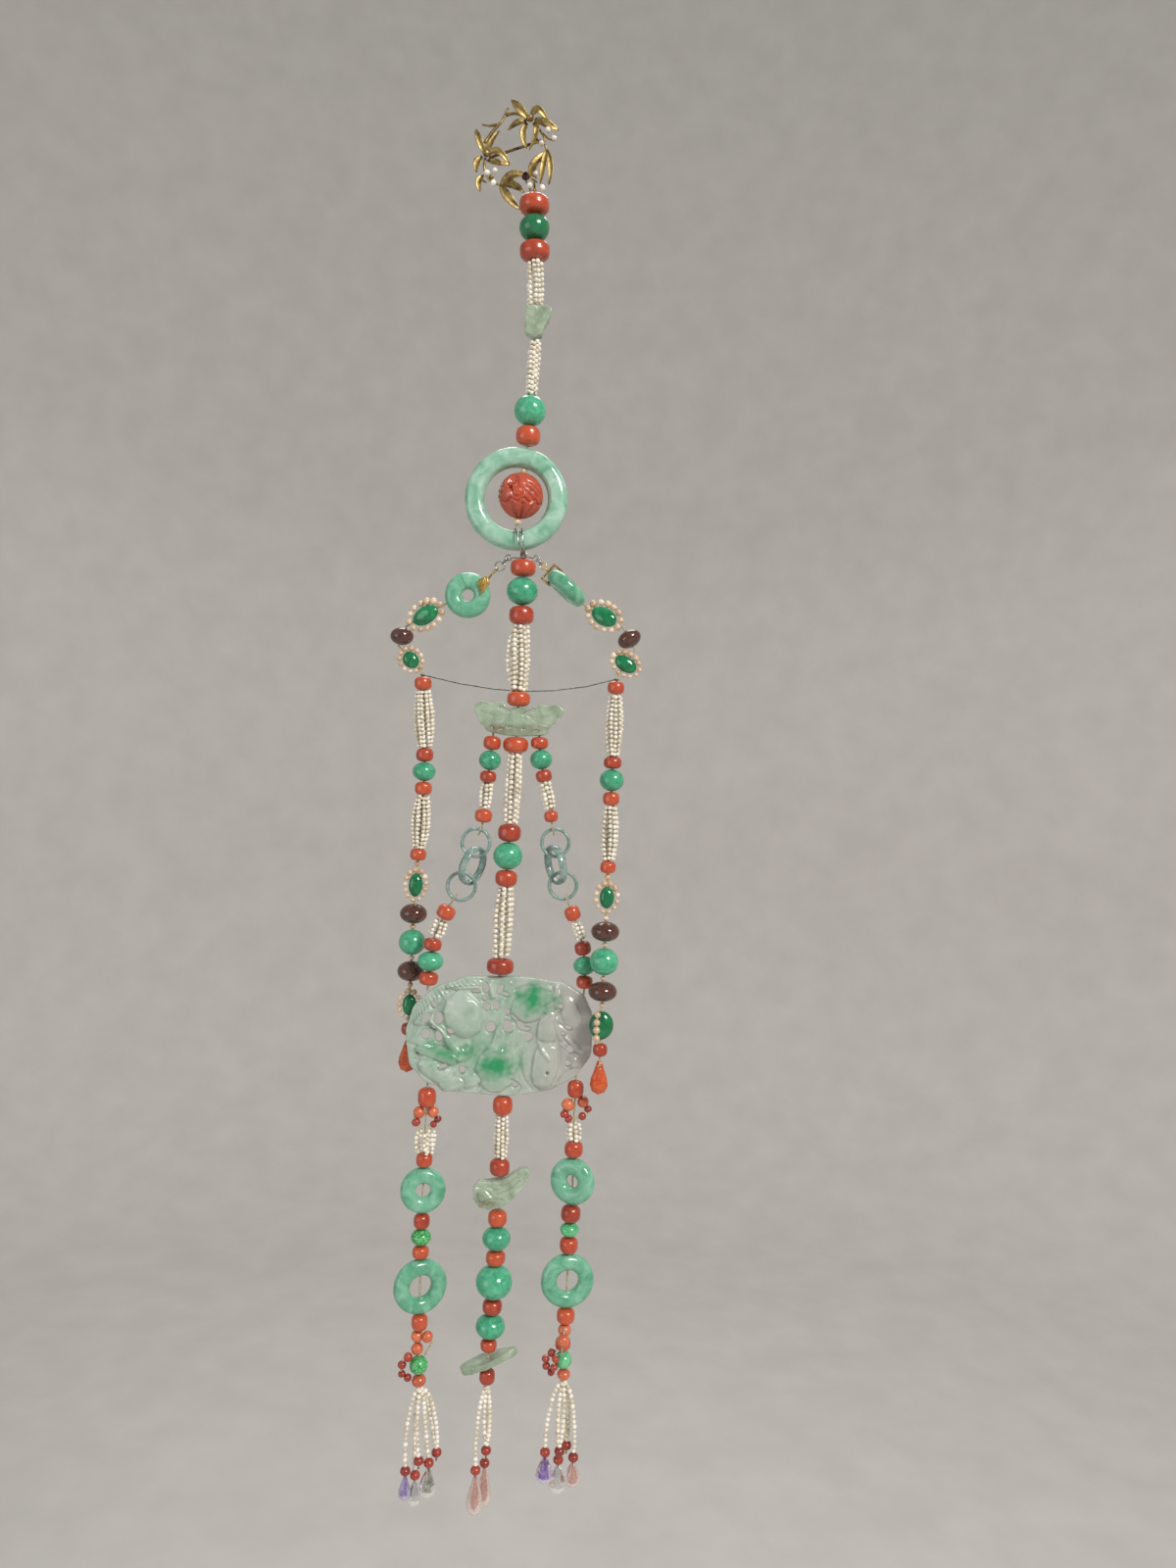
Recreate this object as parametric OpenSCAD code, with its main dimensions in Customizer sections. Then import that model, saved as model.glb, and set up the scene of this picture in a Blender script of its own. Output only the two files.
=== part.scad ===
// A long chatelaine of carved jade, coral and seed pearls, in millimetres.
// It hangs along -Z from the pin of its brooch, which is the origin. The front faces -Y.

/* [Beads and threads] */
// Gap left between two neighbours on a thread
gap = 0.15; // [0.1:0.01:0.2]
// Radius of the hole drilled through every bead
bore_radius = 0.5; // [0.4:0.05:0.6]
// Radius of the silk threads
thread_radius = 0.35; // [0.25:0.05:0.35]
// Radius of the thin silver and gold wire
wire_radius = 0.25; // [0.2:0.01:0.28]
// Fullness of a coral barrel, 2 is round
coral_fullness = 3.2; // [2:0.1:4]
// Pearl size on the shoulder stones
shoulder_pearl = 2.3; // [1.8:0.1:2.5]
// Pearl size on the arm stones
arm_pearl = 1.9; // [1.5:0.1:2]

/* [Ring, donuts and links] */
// Outer radius of the pale ring
ring_radius = 18.4; // [17:0.1:18.6]
// Radius of the opening of the pale ring
ring_opening = 11.3; // [10.5:0.1:11.5]
// Axial width of the pale ring
ring_width = 6.5; // [5:0.1:6.5]
// Radius of the two shoulder donuts
shoulder_donut_radius = 8.2; // [7:0.1:8.3]
// Thickness of the two shoulder donuts
shoulder_donut_width = 5.6; // [4:0.1:5.8]
// Thickness of the four lower donuts
lower_donut_width = 5.2; // [4:0.1:6]

/* [Carvings] */
// Thickness of the slab of the plaque
plaque_slab = 3.4; // [3:0.1:3.6]
// Thickness of the butterfly
butterfly_width = 3.6; // [3:0.1:4]
// Thickness of the bird
bird_width = 4.4; // [3.5:0.1:5]

/* [Hidden] */
$fn = 24;

// Kinds of piece on a strand
CORAL = 1;
JADE = 2;
BUNDLE = 3;
PEARL = 4;
SMOKY = 5;
OVAL = 6;
SPACE = 7;
SMALL = 8;
// Columns of a strand table: a piece hangs along a lean from straight down, towards +X
KIND = 0;
WIDTH = 1;
LENGTH = 2;
LEAN = 3;
// A bundle narrows to its end width where it has one
END_WIDTH = 4;
// Columns of a laid table: kind, width, length and the point where its stretch of thread ends
END = 3;
profile_steps = 10;

neck_start = [7.8, 0, -16.2];
neck = [
    [CORAL, 10.8, 6.6, 3],
    [JADE, 10.8, 9.6, 3],
    [CORAL, 10.8, 6.6, 3],
    [BUNDLE, 7.0, 16.0, 3],
    [SPACE, 9.4, 12.2, 3],
    [BUNDLE, 5.2, 19.4, -2],
    [JADE, 11.5, 10.9, -2],
    [CORAL, 8.8, 6.8, -2],
    [SPACE, 0, 8.3, -5],
    [PEARL, 2.2, 1.2, -5],
    [SPACE, 16.4, 16.3, -5],
    [PEARL, 3.1, 2.2, -5]];

centre_start = [9.6, 0, -145.85];
centre = [
    [CORAL, 9.1, 6.2, 0.5],
    [JADE, 11.2, 10.2, 0.5],
    [CORAL, 8.9, 6.6, 0.5],
    [BUNDLE, 7.7, 23.6, 0.5],
    [CORAL, 8.4, 5.4, 0.5],
    [SPACE, 0, 10.6, -1.5],
    [CORAL, 9.1, 5.7, -1.5],
    [BUNDLE, 7.0, 25.0, -1.5],
    [CORAL, 8.2, 6.4, -1.5],
    [JADE, 10.6, 9.8, -1.5],
    [CORAL, 7.9, 6.0, -1.5],
    [BUNDLE, 7.7, 25.2, -1.5, 5.2],
    [CORAL, 9.8, 5.8, -1.5]];

left_arm_start = [-25.6, 8, -188.55];
left_arm = [
    [CORAL, 6.3, 4.9, 4],
    [BUNDLE, 8.4, 20.8, 4],
    [CORAL, 6.3, 4.9, 2],
    [JADE, 8.4, 7.0, 0],
    [CORAL, 6.3, 4.9, -1],
    [BUNDLE, 7.7, 19.2, -2],
    [CORAL, 5.9, 4.4, -3],
    [PEARL, 2.1, 1.9, -3],
    [OVAL, 5.2, 13.4, -2],
    [SMOKY, 10.0, 7.2, -1],
    [PEARL, 2.1, 1.9, 0],
    [JADE, 9.8, 9.2, 0],
    [PEARL, 2.1, 1.9, 0],
    [SMOKY, 9.8, 7.5, 0],
    [PEARL, 2.1, 1.9, 0],
    [OVAL, 5.2, 12.6, 0],
    [CORAL, 5.1, 4.6, 0]];

right_arm_start = [44.4, -7, -188.55];
right_arm = [
    [CORAL, 5.9, 4.6, 0],
    [BUNDLE, 7.0, 21.6, 0],
    [CORAL, 6.3, 4.2, 0],
    [JADE, 8.6, 7.8, 0],
    [CORAL, 5.9, 4.8, 0],
    [BUNDLE, 7.0, 19.2, 0],
    [CORAL, 5.6, 4.3, 0],
    [PEARL, 2.1, 2.0, 0],
    [OVAL, 5.2, 12.4, 0],
    [PEARL, 2.0, 1.9, 0],
    [SMOKY, 10.1, 7.0, 0],
    [PEARL, 2.0, 1.9, 0],
    [JADE, 10.1, 9.6, 0],
    [PEARL, 2.0, 1.9, 0],
    [SMOKY, 10.1, 7.1, 0],
    [PEARL, 2.0, 1.9, 0],
    [SPACE, 8.8, 12.2, 0],
    [CORAL, 5.1, 4.6, 0]];

inner_left_start = [1.5, 0, -209.3];
inner_left = [
    [CORAL, 6.3, 5.0, -4.3],
    [JADE, 8.0, 7.2, -4.3],
    [CORAL, 5.9, 4.2, -4.3],
    [BUNDLE, 5.2, 9.2, -4.3],
    [CORAL, 6.3, 4.9, -4.3]];
inner_right_start = [18.0, 0, -209.0];
inner_right = [
    [CORAL, 6.3, 4.3, 5],
    [JADE, 8.0, 7.2, 10],
    [CORAL, 5.8, 4.4, 14],
    [BUNDLE, 5.2, 10.0, 13],
    [CORAL, 5.0, 4.2, 10]];

// Laid strands: each row ends its stretch of thread at the point in its last column
inner_left_foot = [
    [CORAL, 6.6, 5.3, [-13.9, 0, -275.9]],
    [BUNDLE, 6.4, 6.0, [-16.5, 0, -282.2]],
    [CORAL, 6.6, 4.5, [-17.1, 0, -287.0]],
    [JADE, 9.4, 7.0, [-17.5, 0, -294.2]],
    [CORAL, 6.9, 4.8, [-17.8, 0, -299.3]]];
inner_right_foot = [
    [CORAL, 5.6, 5.3, [33.9, 0, -274.3]],
    [BUNDLE, 4.9, 6.4, [36.2, 0, -280.9]],
    [CORAL, 5.9, 5.0, [37.4, 0, -286.3]],
    [JADE, 8.2, 6.6, [38.0, 0, -293.2]],
    [CORAL, 5.9, 4.7, [37.9, 0, -298.1]]];

lower_left_start = [-16.4, 0, -335.6];
lower_left = [
    [CORAL, 6.6, 7.0, 0],
    [SPACE, 0, 7.8, 0],
    [BUNDLE, 8.8, 8.0, 0, 3.4],
    [CORAL, 5.9, 5.0, 0],
    [SPACE, 0, 16.4, 0],
    [CORAL, 5.8, 5.4, 0.5],
    [JADE, 7.3, 5.8, 0.5],
    [CORAL, 5.9, 4.5, 0.5],
    [SPACE, 0, 19.6, 2],
    [CORAL, 5.9, 5.7, 0]];
lower_left_foot = [
    [SMALL, 4.2, 4.0, [-16.9, 0.9, -426.9]],
    [SMALL, 4.2, 4.0, [-15.2, 0, -431.3]],
    [JADE, 6.6, 6.4, [-15.3, 0, -438.0]],
    [SMALL, 4.9, 4.1, [-14.6, 0, -442.4]]];

lower_middle_start = [10.7, 0, -337.4];
lower_middle = [
    [CORAL, 7.2, 6.7, 0],
    [BUNDLE, 5.9, 15.4, -0.5],
    [CORAL, 7.2, 6.0, 0],
    [SPACE, 0, 12.0, 0],
    [CORAL, 6.8, 5.8, 0],
    [JADE, 10.1, 8.4, 0],
    [CORAL, 7.0, 5.2, -1],
    [JADE, 13.2, 11.8, -1],
    [CORAL, 7.0, 5.4, -3],
    [JADE, 10.5, 8.6, -3],
    [CORAL, 5.9, 4.4, -2],
    [SPACE, 0, 6.0, 0],
    [CORAL, 5.6, 5.4, 0]];

lower_right_start = [36.4, 0, -330.7];
lower_right = [
    [CORAL, 5.9, 6.2, 0],
    [SPACE, 0, 8.7, 0],
    [BUNDLE, 6.2, 6.4, 2, 3.6],
    [CORAL, 6.6, 5.7, 1],
    [SPACE, 0, 16.8, 0],
    [CORAL, 7.0, 6.0, -2],
    [JADE, 6.8, 5.1, -1],
    [CORAL, 6.6, 5.7, 0],
    [SPACE, 0, 19.3, 0],
    [CORAL, 6.5, 5.5, 0]];
lower_right_foot = [
    [SMALL, 4.5, 4.2, [36.0, 0, -422.3]],
    [SMALL, 5.6, 4.4, [35.7, 0, -427.3]],
    [JADE, 6.3, 6.0, [36.6, 0, -433.7]],
    [SMALL, 4.5, 3.6, [36.6, 0, -437.7]]];

// Side threads: small corals on a thread of their own beside the strand: start, then rows
left_fork = [[-17.25, -0.2, -343.2], [
    [SMALL, 4.0, 3.8, [-20.5, -1.6, -345.6]],
    [SMALL, 2.8, 2.7, [-18.9, -1.3, -349.9]],
    [SPACE, 0, 0, [-17.2, -0.6, -350.0]]]];
left_fork_front = [[-15.6, 0.4, -343.3], [
    [SMALL, 4.0, 3.9, [-12.8, 1.9, -345.7]],
    [SMALL, 2.4, 2.2, [-12.1, 1.9, -348.9]],
    [SMALL, 2.2, 2.1, [-15.6, 1.2, -349.4]]]];
left_side = [[-14.6, -0.5, -423.0], [
    [SMALL, 3.8, 3.6, [-10.2, -1.9, -424.8]],
    [SPACE, 0, 0, [-12.3, -0.9, -428.9]],
    [SPACE, 0, 0, [-13.2, -0.6, -431.0]]]];
left_loop = [[-17.2, -0.9, -430.9], [
    [SMALL, 2.8, 2.6, [-20.6, -1.8, -431.9]],
    [SMALL, 2.7, 2.6, [-21.2, -1.8, -436.0]],
    [SMALL, 2.4, 2.2, [-20.5, -1.6, -438.4]],
    [SMALL, 2.4, 2.4, [-17.0, -1.1, -439.0]]]];
right_fork = [[35.5, -0.3, -337.5], [
    [SMALL, 4.5, 4.2, [32.3, -1.2, -341.3]],
    [SMALL, 2.8, 2.5, [33.4, -1.0, -344.0]],
    [SMALL, 2.6, 2.0, [35.4, -0.6, -344.85]]]];
right_fork_side = [[37.5, 0.4, -338.0], [
    [SMALL, 4.0, 3.7, [41.0, 1.2, -339.1]],
    [SMALL, 2.5, 2.3, [41.3, 1.2, -343.2]],
    [SMALL, 2.5, 2.4, [37.2, 0.5, -344.3]]]];
right_front = [[36.2, -2.4, -418.2], [
    [SPACE, 0, 0, [36.1, -4.2, -419.2]],
    [SMALL, 4.2, 4.0, [35.7, -4.4, -424.0]],
    [SPACE, 0, 0, [35.7, -3.2, -427.2]]]];
right_loop = [[33.6, -0.7, -427.0], [
    [SMALL, 2.5, 2.3, [30.3, -1.2, -428.6]],
    [SMALL, 2.5, 2.3, [29.6, -1.2, -431.2]],
    [SMALL, 2.5, 2.3, [30.9, -1.0, -433.7]],
    [SMALL, 2.5, 2.3, [33.3, -0.8, -435.6]]]];
right_inner_loop = [[33.9, -2.6, -427.6], [
    [SMALL, 2.4, 2.2, [33.0, -3.6, -430.4]],
    [SMALL, 2.4, 2.2, [33.2, -3.4, -432.8]]]];

// Points where the pieces of a strand meet, worked out down its leans
function heading(lean) = [sin(lean), 0, -cos(lean)];
function hung(rows, start) = [
    for (i = 0, p = start; i <= len(rows);
        p = i < len(rows) ? p + (rows[i][LENGTH] + gap) * heading(rows[i][LEAN]) : p, i = i + 1) p];
function laid(rows, start) = concat([start], [for (row = rows) row[END]]);
function turns_at(points, i) =
    norm(cross(points[i] - points[i - 1], points[i + 1] - points[i]))
        > 0.003 * norm(points[i] - points[i - 1]) * norm(points[i + 1] - points[i]);
function tail_of(points) = [for (i = [1 : 1 : len(points) - 1]) points[i]];
function corners(points) = [
    for (i = [0 : len(points) - 1])
        if (i == 0 || i == len(points) - 1 || turns_at(points, i)) points[i]];

// Puts its child between two points, with local -Z running from the first to the second
module between(p, q) {
    d = (q - p) / norm(q - p);
    translate((p + q) / 2)
        rotate([0, -atan2(d.x, -d.z), 0])
            rotate([asin(d.y), 0, 0])
                children();
}

// A turned bead: its profile starts at the thread hole
function bead_profile(width, length, fullness, bore) = let (
    power = 2 / fullness,
    reach = acos(pow(2 * bore / width, fullness / 2)))
    [for (i = [0 : profile_steps]) let (t = reach * (2 * i / profile_steps - 1))
        [pow(cos(t), power) * width / 2, sign(t) * pow(abs(sin(t)), power) * length / 2]];
module bead(width, length, fullness = 2)
    rotate_extrude() polygon(bead_profile(width, length, fullness, bore_radius));

// A bundle of seed-pearl strings, full at the top and drawn in at its ends
module bundle(width, length, end_width)
    rotate_extrude() polygon([
        [bore_radius, -length / 2],
        [end_width * 0.42, -length / 2],
        [end_width * 0.5, -length * 0.44],
        [(width + end_width) * 0.25, 0],
        [width * 0.5, length * 0.4],
        [width * 0.42, length / 2],
        [bore_radius, length / 2]]);

module one_piece(row)
    if (row[KIND] == CORAL) bead(row[WIDTH], row[LENGTH], coral_fullness);
    else if (row[KIND] == BUNDLE)
        bundle(row[WIDTH], row[LENGTH], is_num(row[END_WIDTH]) ? row[END_WIDTH] : row[WIDTH] * 0.94);
    else bead(row[WIDTH], row[LENGTH]);

// The pieces of one kind of a strand, each on its own stretch of the thread
module pieces(rows, points, kind)
    for (i = [0 : len(rows) - 1])
        if (rows[i][KIND] == kind) between(points[i], points[i + 1]) one_piece(rows[i]);

// Silk thread: a six-sided tube through its points
module tube(points, radius) {
    n = len(points);
    step = [for (i = [0 : n - 2]) (points[i + 1] - points[i]) / norm(points[i + 1] - points[i])];
    along = [for (i = [0 : n - 1]) step[max(i - 1, 0)] + step[min(i, n - 2)]];
    polyhedron(
        points = [for (i = [0 : n - 1]) let (
                side = cross(along[i], [0, 1, 0]),
                up = cross(side, along[i]))
            for (a = [0 : 60 : 300])
                points[i] + radius * (cos(a) * side / norm(side) + sin(a) * up / norm(up))],
        faces = concat(
            [[for (k = [5 : -1 : 0]) k]],
            [[for (k = [0 : 5]) (n - 1) * 6 + k]],
            [for (i = [0 : n - 2]) for (k = [0 : 5]) let (m = (k + 1) % 6)
                each [[i * 6 + k, (i + 1) * 6 + m, (i + 1) * 6 + k],
                    [i * 6 + k, i * 6 + m, (i + 1) * 6 + m]]]));
}

// Metal wire: straight rods with a ball at each bend
module wire(points, radius) {
    for (i = [0 : len(points) - 2])
        between(points[i], points[i + 1])
            cylinder(r = radius, h = norm(points[i + 1] - points[i]), center = true);
    for (i = [1 : 1 : len(points) - 2]) translate(points[i]) sphere(r = radius * 1.1);
}
module loop(radius, thickness)
    rotate([90, 0, 0]) rotate_extrude() translate([radius, 0]) circle(r = thickness);

// A ring or donut of stone with rounded edges, its axis along Y
module donut(radius, opening, width) {
    middle = (radius + opening) / 2;
    half = (radius - opening) / 2;
    rotate([90, 0, 0]) rotate_extrude() polygon([
        for (t = [15 : 30 : 345])
            [middle + sign(cos(t)) * pow(abs(cos(t)), 0.7) * half / pow(cos(15), 0.7),
                sign(sin(t)) * pow(abs(sin(t)), 0.7) * width / 2 / pow(cos(15), 0.7)]]);
}
module bored_donut(radius, opening, width) difference() {
    donut(radius, opening, width);
    cylinder(r = bore_radius, h = 2 * radius + 2, center = true);
}

// A cut stone: an outline in XZ, bevelled to a smaller table in front and one behind
module cut_stone(outline, thickness, table) {
    n = len(outline);
    ring = function (share, y) [for (p = outline) [p.x * share, y, p.y * share]];
    polyhedron(
        points = concat(ring(table, -thickness / 2), ring(1, 0), ring(table, thickness / 2)),
        faces = concat(
            [[for (i = [n - 1 : -1 : 0]) i]],
            [[for (i = [0 : n - 1]) 2 * n + i]],
            [for (k = [0, 1]) for (i = [0 : n - 1]) let (j = (i + 1) % n, a = k * n)
                [a + i, a + j, a + n + j, a + n + i]]));
}
function oval(width, length, count) =
    [for (i = [0 : count - 1]) let (t = 360 * i / count) [cos(t) * width / 2, sin(t) * length / 2]];
module oval_stone(width, length) difference() {
    cut_stone(oval(width, length, 12), 3.6, 0.62);
    cylinder(r = bore_radius, h = length + 2, center = true);
}

// The string of pearls round an oval stone, drilled at top and bottom for the strand
module pearl_ring(width, length, pearl) difference() {
    sides = 8;
    count = 18;
    path = oval(width - pearl, length - pearl, count);
    polyhedron(
        points = [for (i = [0 : count - 1]) let (
                out = atan2(path[i].y / (length - pearl), path[i].x / (width - pearl)),
                across = [cos(out) * (length - pearl), 0, sin(out) * (width - pearl)],
                side = across / norm(across))
            for (k = [0 : sides - 1]) let (a = 360 * k / sides)
                [path[i].x, 0, path[i].y] + pearl / 2 * (cos(a) * side + sin(a) * [0, 1, 0])],
        faces = [for (i = [0 : count - 1]) for (k = [0 : sides - 1]) let (
                j = (i + 1) % count, m = (k + 1) % sides)
            each [[i * sides + k, j * sides + m, i * sides + m],
                [i * sides + k, j * sides + k, j * sides + m]]]);
    cylinder(r = bore_radius, h = length + 2, center = true);
}

// Where the strands run
neck_points = hung(neck, neck_start);
centre_points = hung(centre, centre_start);
left_arm_points = hung(left_arm, left_arm_start);
right_arm_points = hung(right_arm, right_arm_start);
inner_left_points = hung(inner_left, inner_left_start);
inner_right_points = hung(inner_right, inner_right_start);
lower_left_points = hung(lower_left, lower_left_start);
lower_middle_points = hung(lower_middle, lower_middle_start);
lower_right_points = hung(lower_right, lower_right_start);
lower_left_foot_points = laid(lower_left_foot, lower_left_points[len(lower_left)]);
lower_right_foot_points = laid(lower_right_foot, lower_right_points[len(lower_right)]);

// The slanting threads of the shoulders, from a donut to the top of an arm
left_donut_centre = [-9.8, 1, -159.5];
right_donut_centre = [25.4, -1, -155.8];
left_shoulder = [[-11.2, 1, -160.1], [-17.7, 1, -162.9], [-32.4, 6.6, -170.9],
    [-34.9, 7.6, -177.9], [-25.6, 8, -187.6]];
right_shoulder = [right_donut_centre + 1.4 * heading(50), right_donut_centre + 8.75 * heading(50),
    [46.3, -5, -169.6], [50.6, -6.4, -177.3], [44.4, -7, -187.6]];

// Jade chain links, each hanging in the one above, between two silk ties: outer and inner radius, width
left_link = [5.6, 4.3, 2.6];
right_link = [5.5, 4.2, 2.6];
middle_link = [7.3, 5.8, 2.8];
middle_turn = 65;
tie_radius = 2.15;
tie_wire = 0.25;
link_drop = 0.35;
function tie_reach(link) = (link[0] + link[1]) / 2 + tie_radius;
function chain_points(link, start, leans, pitch) = let (
    a = start + (tie_reach(link) + link_drop) * heading(leans[0]),
    b = a + pitch * heading(leans[1]),
    c = b + pitch * heading(leans[2]))
    [a, b, c, c + (tie_reach(link) + link_drop) * heading(leans[3])];
left_leans = [-16, -6, -26, -29];
right_leans = [12.6, 3, 22, 20];
left_chain_points = chain_points(left_link, inner_left_points[len(inner_left)], left_leans, 8.35);
right_chain_points = chain_points(right_link, inner_right_points[len(inner_right)], right_leans, 7.85);
inner_left_foot_points = laid(inner_left_foot, left_chain_points[3]);
inner_right_foot_points = laid(inner_right_foot, right_chain_points[3]);

module one_link(link) {
    middle = (link[0] + link[1]) / 2;
    half = (link[0] - link[1]) / 2;
    rotate([90, 0, 0]) rotate_extrude() translate([middle, 0]) polygon([
        for (x = [-1, 1]) for (z = x * [-1, -0.65, 0.65, 1])
            [x * half * (abs(z) > 0.9 ? 0.6 : 1), z * link[2] / 2]]);
}
module chain(link, points, leans, turn) {
    translate(points[0]) one_link(link);
    translate(points[1]) rotate([0, -(leans[1] + leans[2]) / 2, 0]) rotate([0, 0, turn])
        one_link(middle_link);
    translate(points[2]) one_link(link);
}
// A silk tie round the band of a link, in the plane of the strand's depth
module tie(link, centre, lean)
    translate(centre + (link[0] + link[1]) / 2 * heading(lean))
        rotate([0, -lean, 0]) rotate([0, 0, 90]) loop(tie_radius, tie_wire);

// Openings in the ends of carvings where a thread goes in
module thread_hole(p, q)
    between(p, q) cylinder(r = bore_radius, h = norm(q - p), center = true);

// A string that stands in a table as a start point and its rows
function fork_points(fork) = laid(fork[1], fork[0]);
module fork_pieces(fork) pieces(fork[1], fork_points(fork), SMALL);
left_forks = [left_fork, left_fork_front, left_side, left_loop];
right_forks = [right_fork, right_fork_side, right_front, right_loop, right_inner_loop];

// Tassels: the end of each string, and whether a stone drop hangs under its coral
left_strings = [[[-18.2, -1.2, -470.2], true], [[-15.0, 1.4, -473.1], true],
    [[-10.0, -1.0, -467.1], true], [[-13.4, -2.8, -465.4], false], [[-7.7, 2.0, -465.0], false]];
middle_strings = [[[6.9, -2.9, -467.8], true], [[9.6, 2.9, -468.6], true],
    [[10.2, -0.9, -461.8], false]];
right_strings = [[[31.2, -1.5, -461.2], true], [[36.0, 1.5, -465.4], true],
    [[41.3, -0.6, -463.1], true], [[36.3, -2.8, -459.8], false], [[38.7, 2.4, -460.6], false]];
left_tassel_head = [-14.5, 0, -444.3];
middle_tassel_head = lower_middle_points[len(lower_middle)] - [0, 0, 1.9];
right_tassel_head = [36.6, 0, -439.6];
string_radius = 0.72;
pin_radius = 0.3;
end_coral = 3.2;
end_step = 3.4;

module strip(p, q, radius) hull() {
    translate(p) sphere(r = radius, $fn = 6);
    translate(q) sphere(r = radius, $fn = 6);
}
module tassel(head, strings) difference() {
    union() {
        strip(head + [0, 0, 0.3], head - [0, 0, 1.2], 1.7);
        for (row = strings) {
            middle = [for (k = [0 : 2]) head[k] + (row[0][k] - head[k]) * (k == 2 ? 0.45 : 0.65)];
            strip(head, middle, string_radius);
            strip(middle, row[0], string_radius);
            strip(row[0], row[0] - [0, 0, end_step + (row[1] ? 1.9 : -0.2)], pin_radius);
        }
    }
    translate(head + [0, 0, 1]) cylinder(r = bore_radius, h = 2.6, center = true, $fn = 8);
}
module end_corals(strings)
    for (row = strings) translate(row[0] - [0, 0, 1.75]) bead(end_coral, end_coral * 0.9);

// A faceted drop hanging from a blind hole in its top
module drop(p, width, length) translate(p - [0, 0, length / 2]) rotate_extrude($fn = 10) polygon([
    [0, length / 2 - 2.8],
    [0.45, length / 2 - 2.8],
    [0.45, length / 2],
    [0.85, length / 2],
    [width * 0.34, length * 0.16],
    [width / 2, -length * 0.2],
    [width * 0.36, -length * 0.39],
    [0, -length / 2]]);
module drops_of(strings, sizes)
    for (i = [0 : len(sizes) - 1])
        drop(strings[i][0] - [0, 0, end_step], sizes[i][0], sizes[i][1]);
// A flat polished drop with a hole through its neck
module flat_drop() difference() {
    cut_stone([[0.8, 6.1], [-0.8, 6.1], [-1.7, 3.4], [-2.9, 0], [-3.3, -2.6], [-2.4, -5],
        [0, -6.1], [2.4, -5], [3.3, -2.6], [2.9, 0], [1.7, 3.4]], 3, 0.6);
    translate([0, 0, 4.3]) rotate([90, 0, 0]) cylinder(r = 0.6, h = 6, center = true);
}
drop_loop = 1.3;

// Carvings. An outline in XZ becomes a plate centred on Y
module plate(outline, width)
    rotate([90, 0, 0]) linear_extrude(width, center = true) polygon(outline);
butterfly_outline = [[-5.5, -199.6], [-5.1, -198.0], [-3.3, -197.1], [-1.1, -197.3], [0.8, -198.0],
    [2.6, -197.4], [4.8, -197.1], [6.0, -199.0], [14.3, -199.0], [16.1, -198.2], [18.2, -197.3],
    [20.2, -197.9], [22.1, -197.1], [24.3, -197.3], [25.7, -198.4], [26.5, -199.9], [25.6, -201.6],
    [24.0, -202.1], [23.3, -204.0], [21.4, -204.7], [21.0, -207.4], [19.8, -208.4], [10.1, -209.2],
    [5.4, -208.9], [0.7, -208.1], [-1.2, -207.2], [-1.6, -205.9], [-3.2, -205.1], [-3.9, -203.6],
    [-4.4, -202.4], [-5.3, -201.1]];
// Wing openings: centre, width, height and slant
butterfly_slots = [[5.4, -199.9, 4.6, 0.8, 27], [14.0, -200.2, 4.8, 0.8, -27], [1.2, -206.4, 1.4, 0.7, 20],
    [4.2, -206.9, 1.5, 0.7, 0], [7.4, -206.2, 1.3, 0.8, 0], [12.6, -206.6, 1.6, 0.7, 0],
    [17.0, -206.9, 1.4, 0.7, 0]];
module butterfly() color(PALE_JADE) difference() {
    union() {
        plate(butterfly_outline, butterfly_width);
        for (x = [0.4, 19.6]) translate([x, -butterfly_width / 2 - 0.2, -203])
            rotate([90, 0, 0]) cylinder(r1 = 3.4, r2 = 2.4, h = 1.4, center = true);
        translate([10.1, -butterfly_width / 2 - 0.2, -203.6])
            rotate([90, 0, 0]) cylinder(r1 = 2.8, r2 = 1.8, h = 1.8, center = true);
    }
    for (slot = butterfly_slots) translate([slot[0], 0, slot[1]]) rotate([0, slot[4], 0])
        cube([slot[2], butterfly_width * 2, slot[3]], center = true);
    thread_hole(centre_points[5], centre_points[6]);
    thread_hole(inner_left_start - 4.8 * heading(inner_left[0][LEAN]), inner_left_start);
    thread_hole(inner_right_start - 4.8 * heading(inner_right[0][LEAN]), inner_right_start);
}

bird_outline = [[3.5, -367.8], [1.7, -370.1], [1.5, -374.0], [3.3, -375.8], [3.8, -376.9],
    [7.1, -377.6], [11.4, -376.9], [15.3, -374.2], [18.6, -370.1], [20.0, -367.3], [21.4, -363.9],
    [20.3, -362.5], [18.5, -362.8], [14.7, -365.2], [12.7, -366.5], [10.3, -367.2], [6.1, -368.0]];
module bird() color(PALE_JADE) difference() {
    union() {
        plate(bird_outline, bird_width);
        translate([6.2, -bird_width / 2 - 0.2, -372.4])
            rotate([90, 0, 0]) cylinder(r1 = 3.6, r2 = 2.4, h = 1.4, center = true);
    }
    thread_hole(lower_middle_points[3], lower_middle_points[4]);
}

// The leaf of the neck hangs below the point where its bundle ends
leaf_outline = [[-3.3, -2.3], [-3.2, -10.0], [0.5, -11.8], [2.7, -10.5], [3.5, -7.8], [5.1, -4.8],
    [6.0, -1.2], [3.6, -0.3], [-0.9, -0.3], [-2.7, -0.9]];
module neck_leaf() color(PALE_JADE) difference() {
    translate(neck_points[4]) plate(leaf_outline, 4.4);
    thread_hole(neck_points[4], neck_points[5]);
}
module thin_leaf() color(PALE_JADE) difference() {
    translate((lower_middle_points[11] + lower_middle_points[12]) / 2 + [0.4, 0, 0])
        rotate([0, -23, 0]) linear_extrude(2.2, center = true)
            polygon([for (t = [0 : 20 : 340]) [cos(t) * 10.8, sin(t) * 4.4 * (1 - 0.3 * cos(t))]]);
    thread_hole(lower_middle_points[11], lower_middle_points[12]);
}

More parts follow.
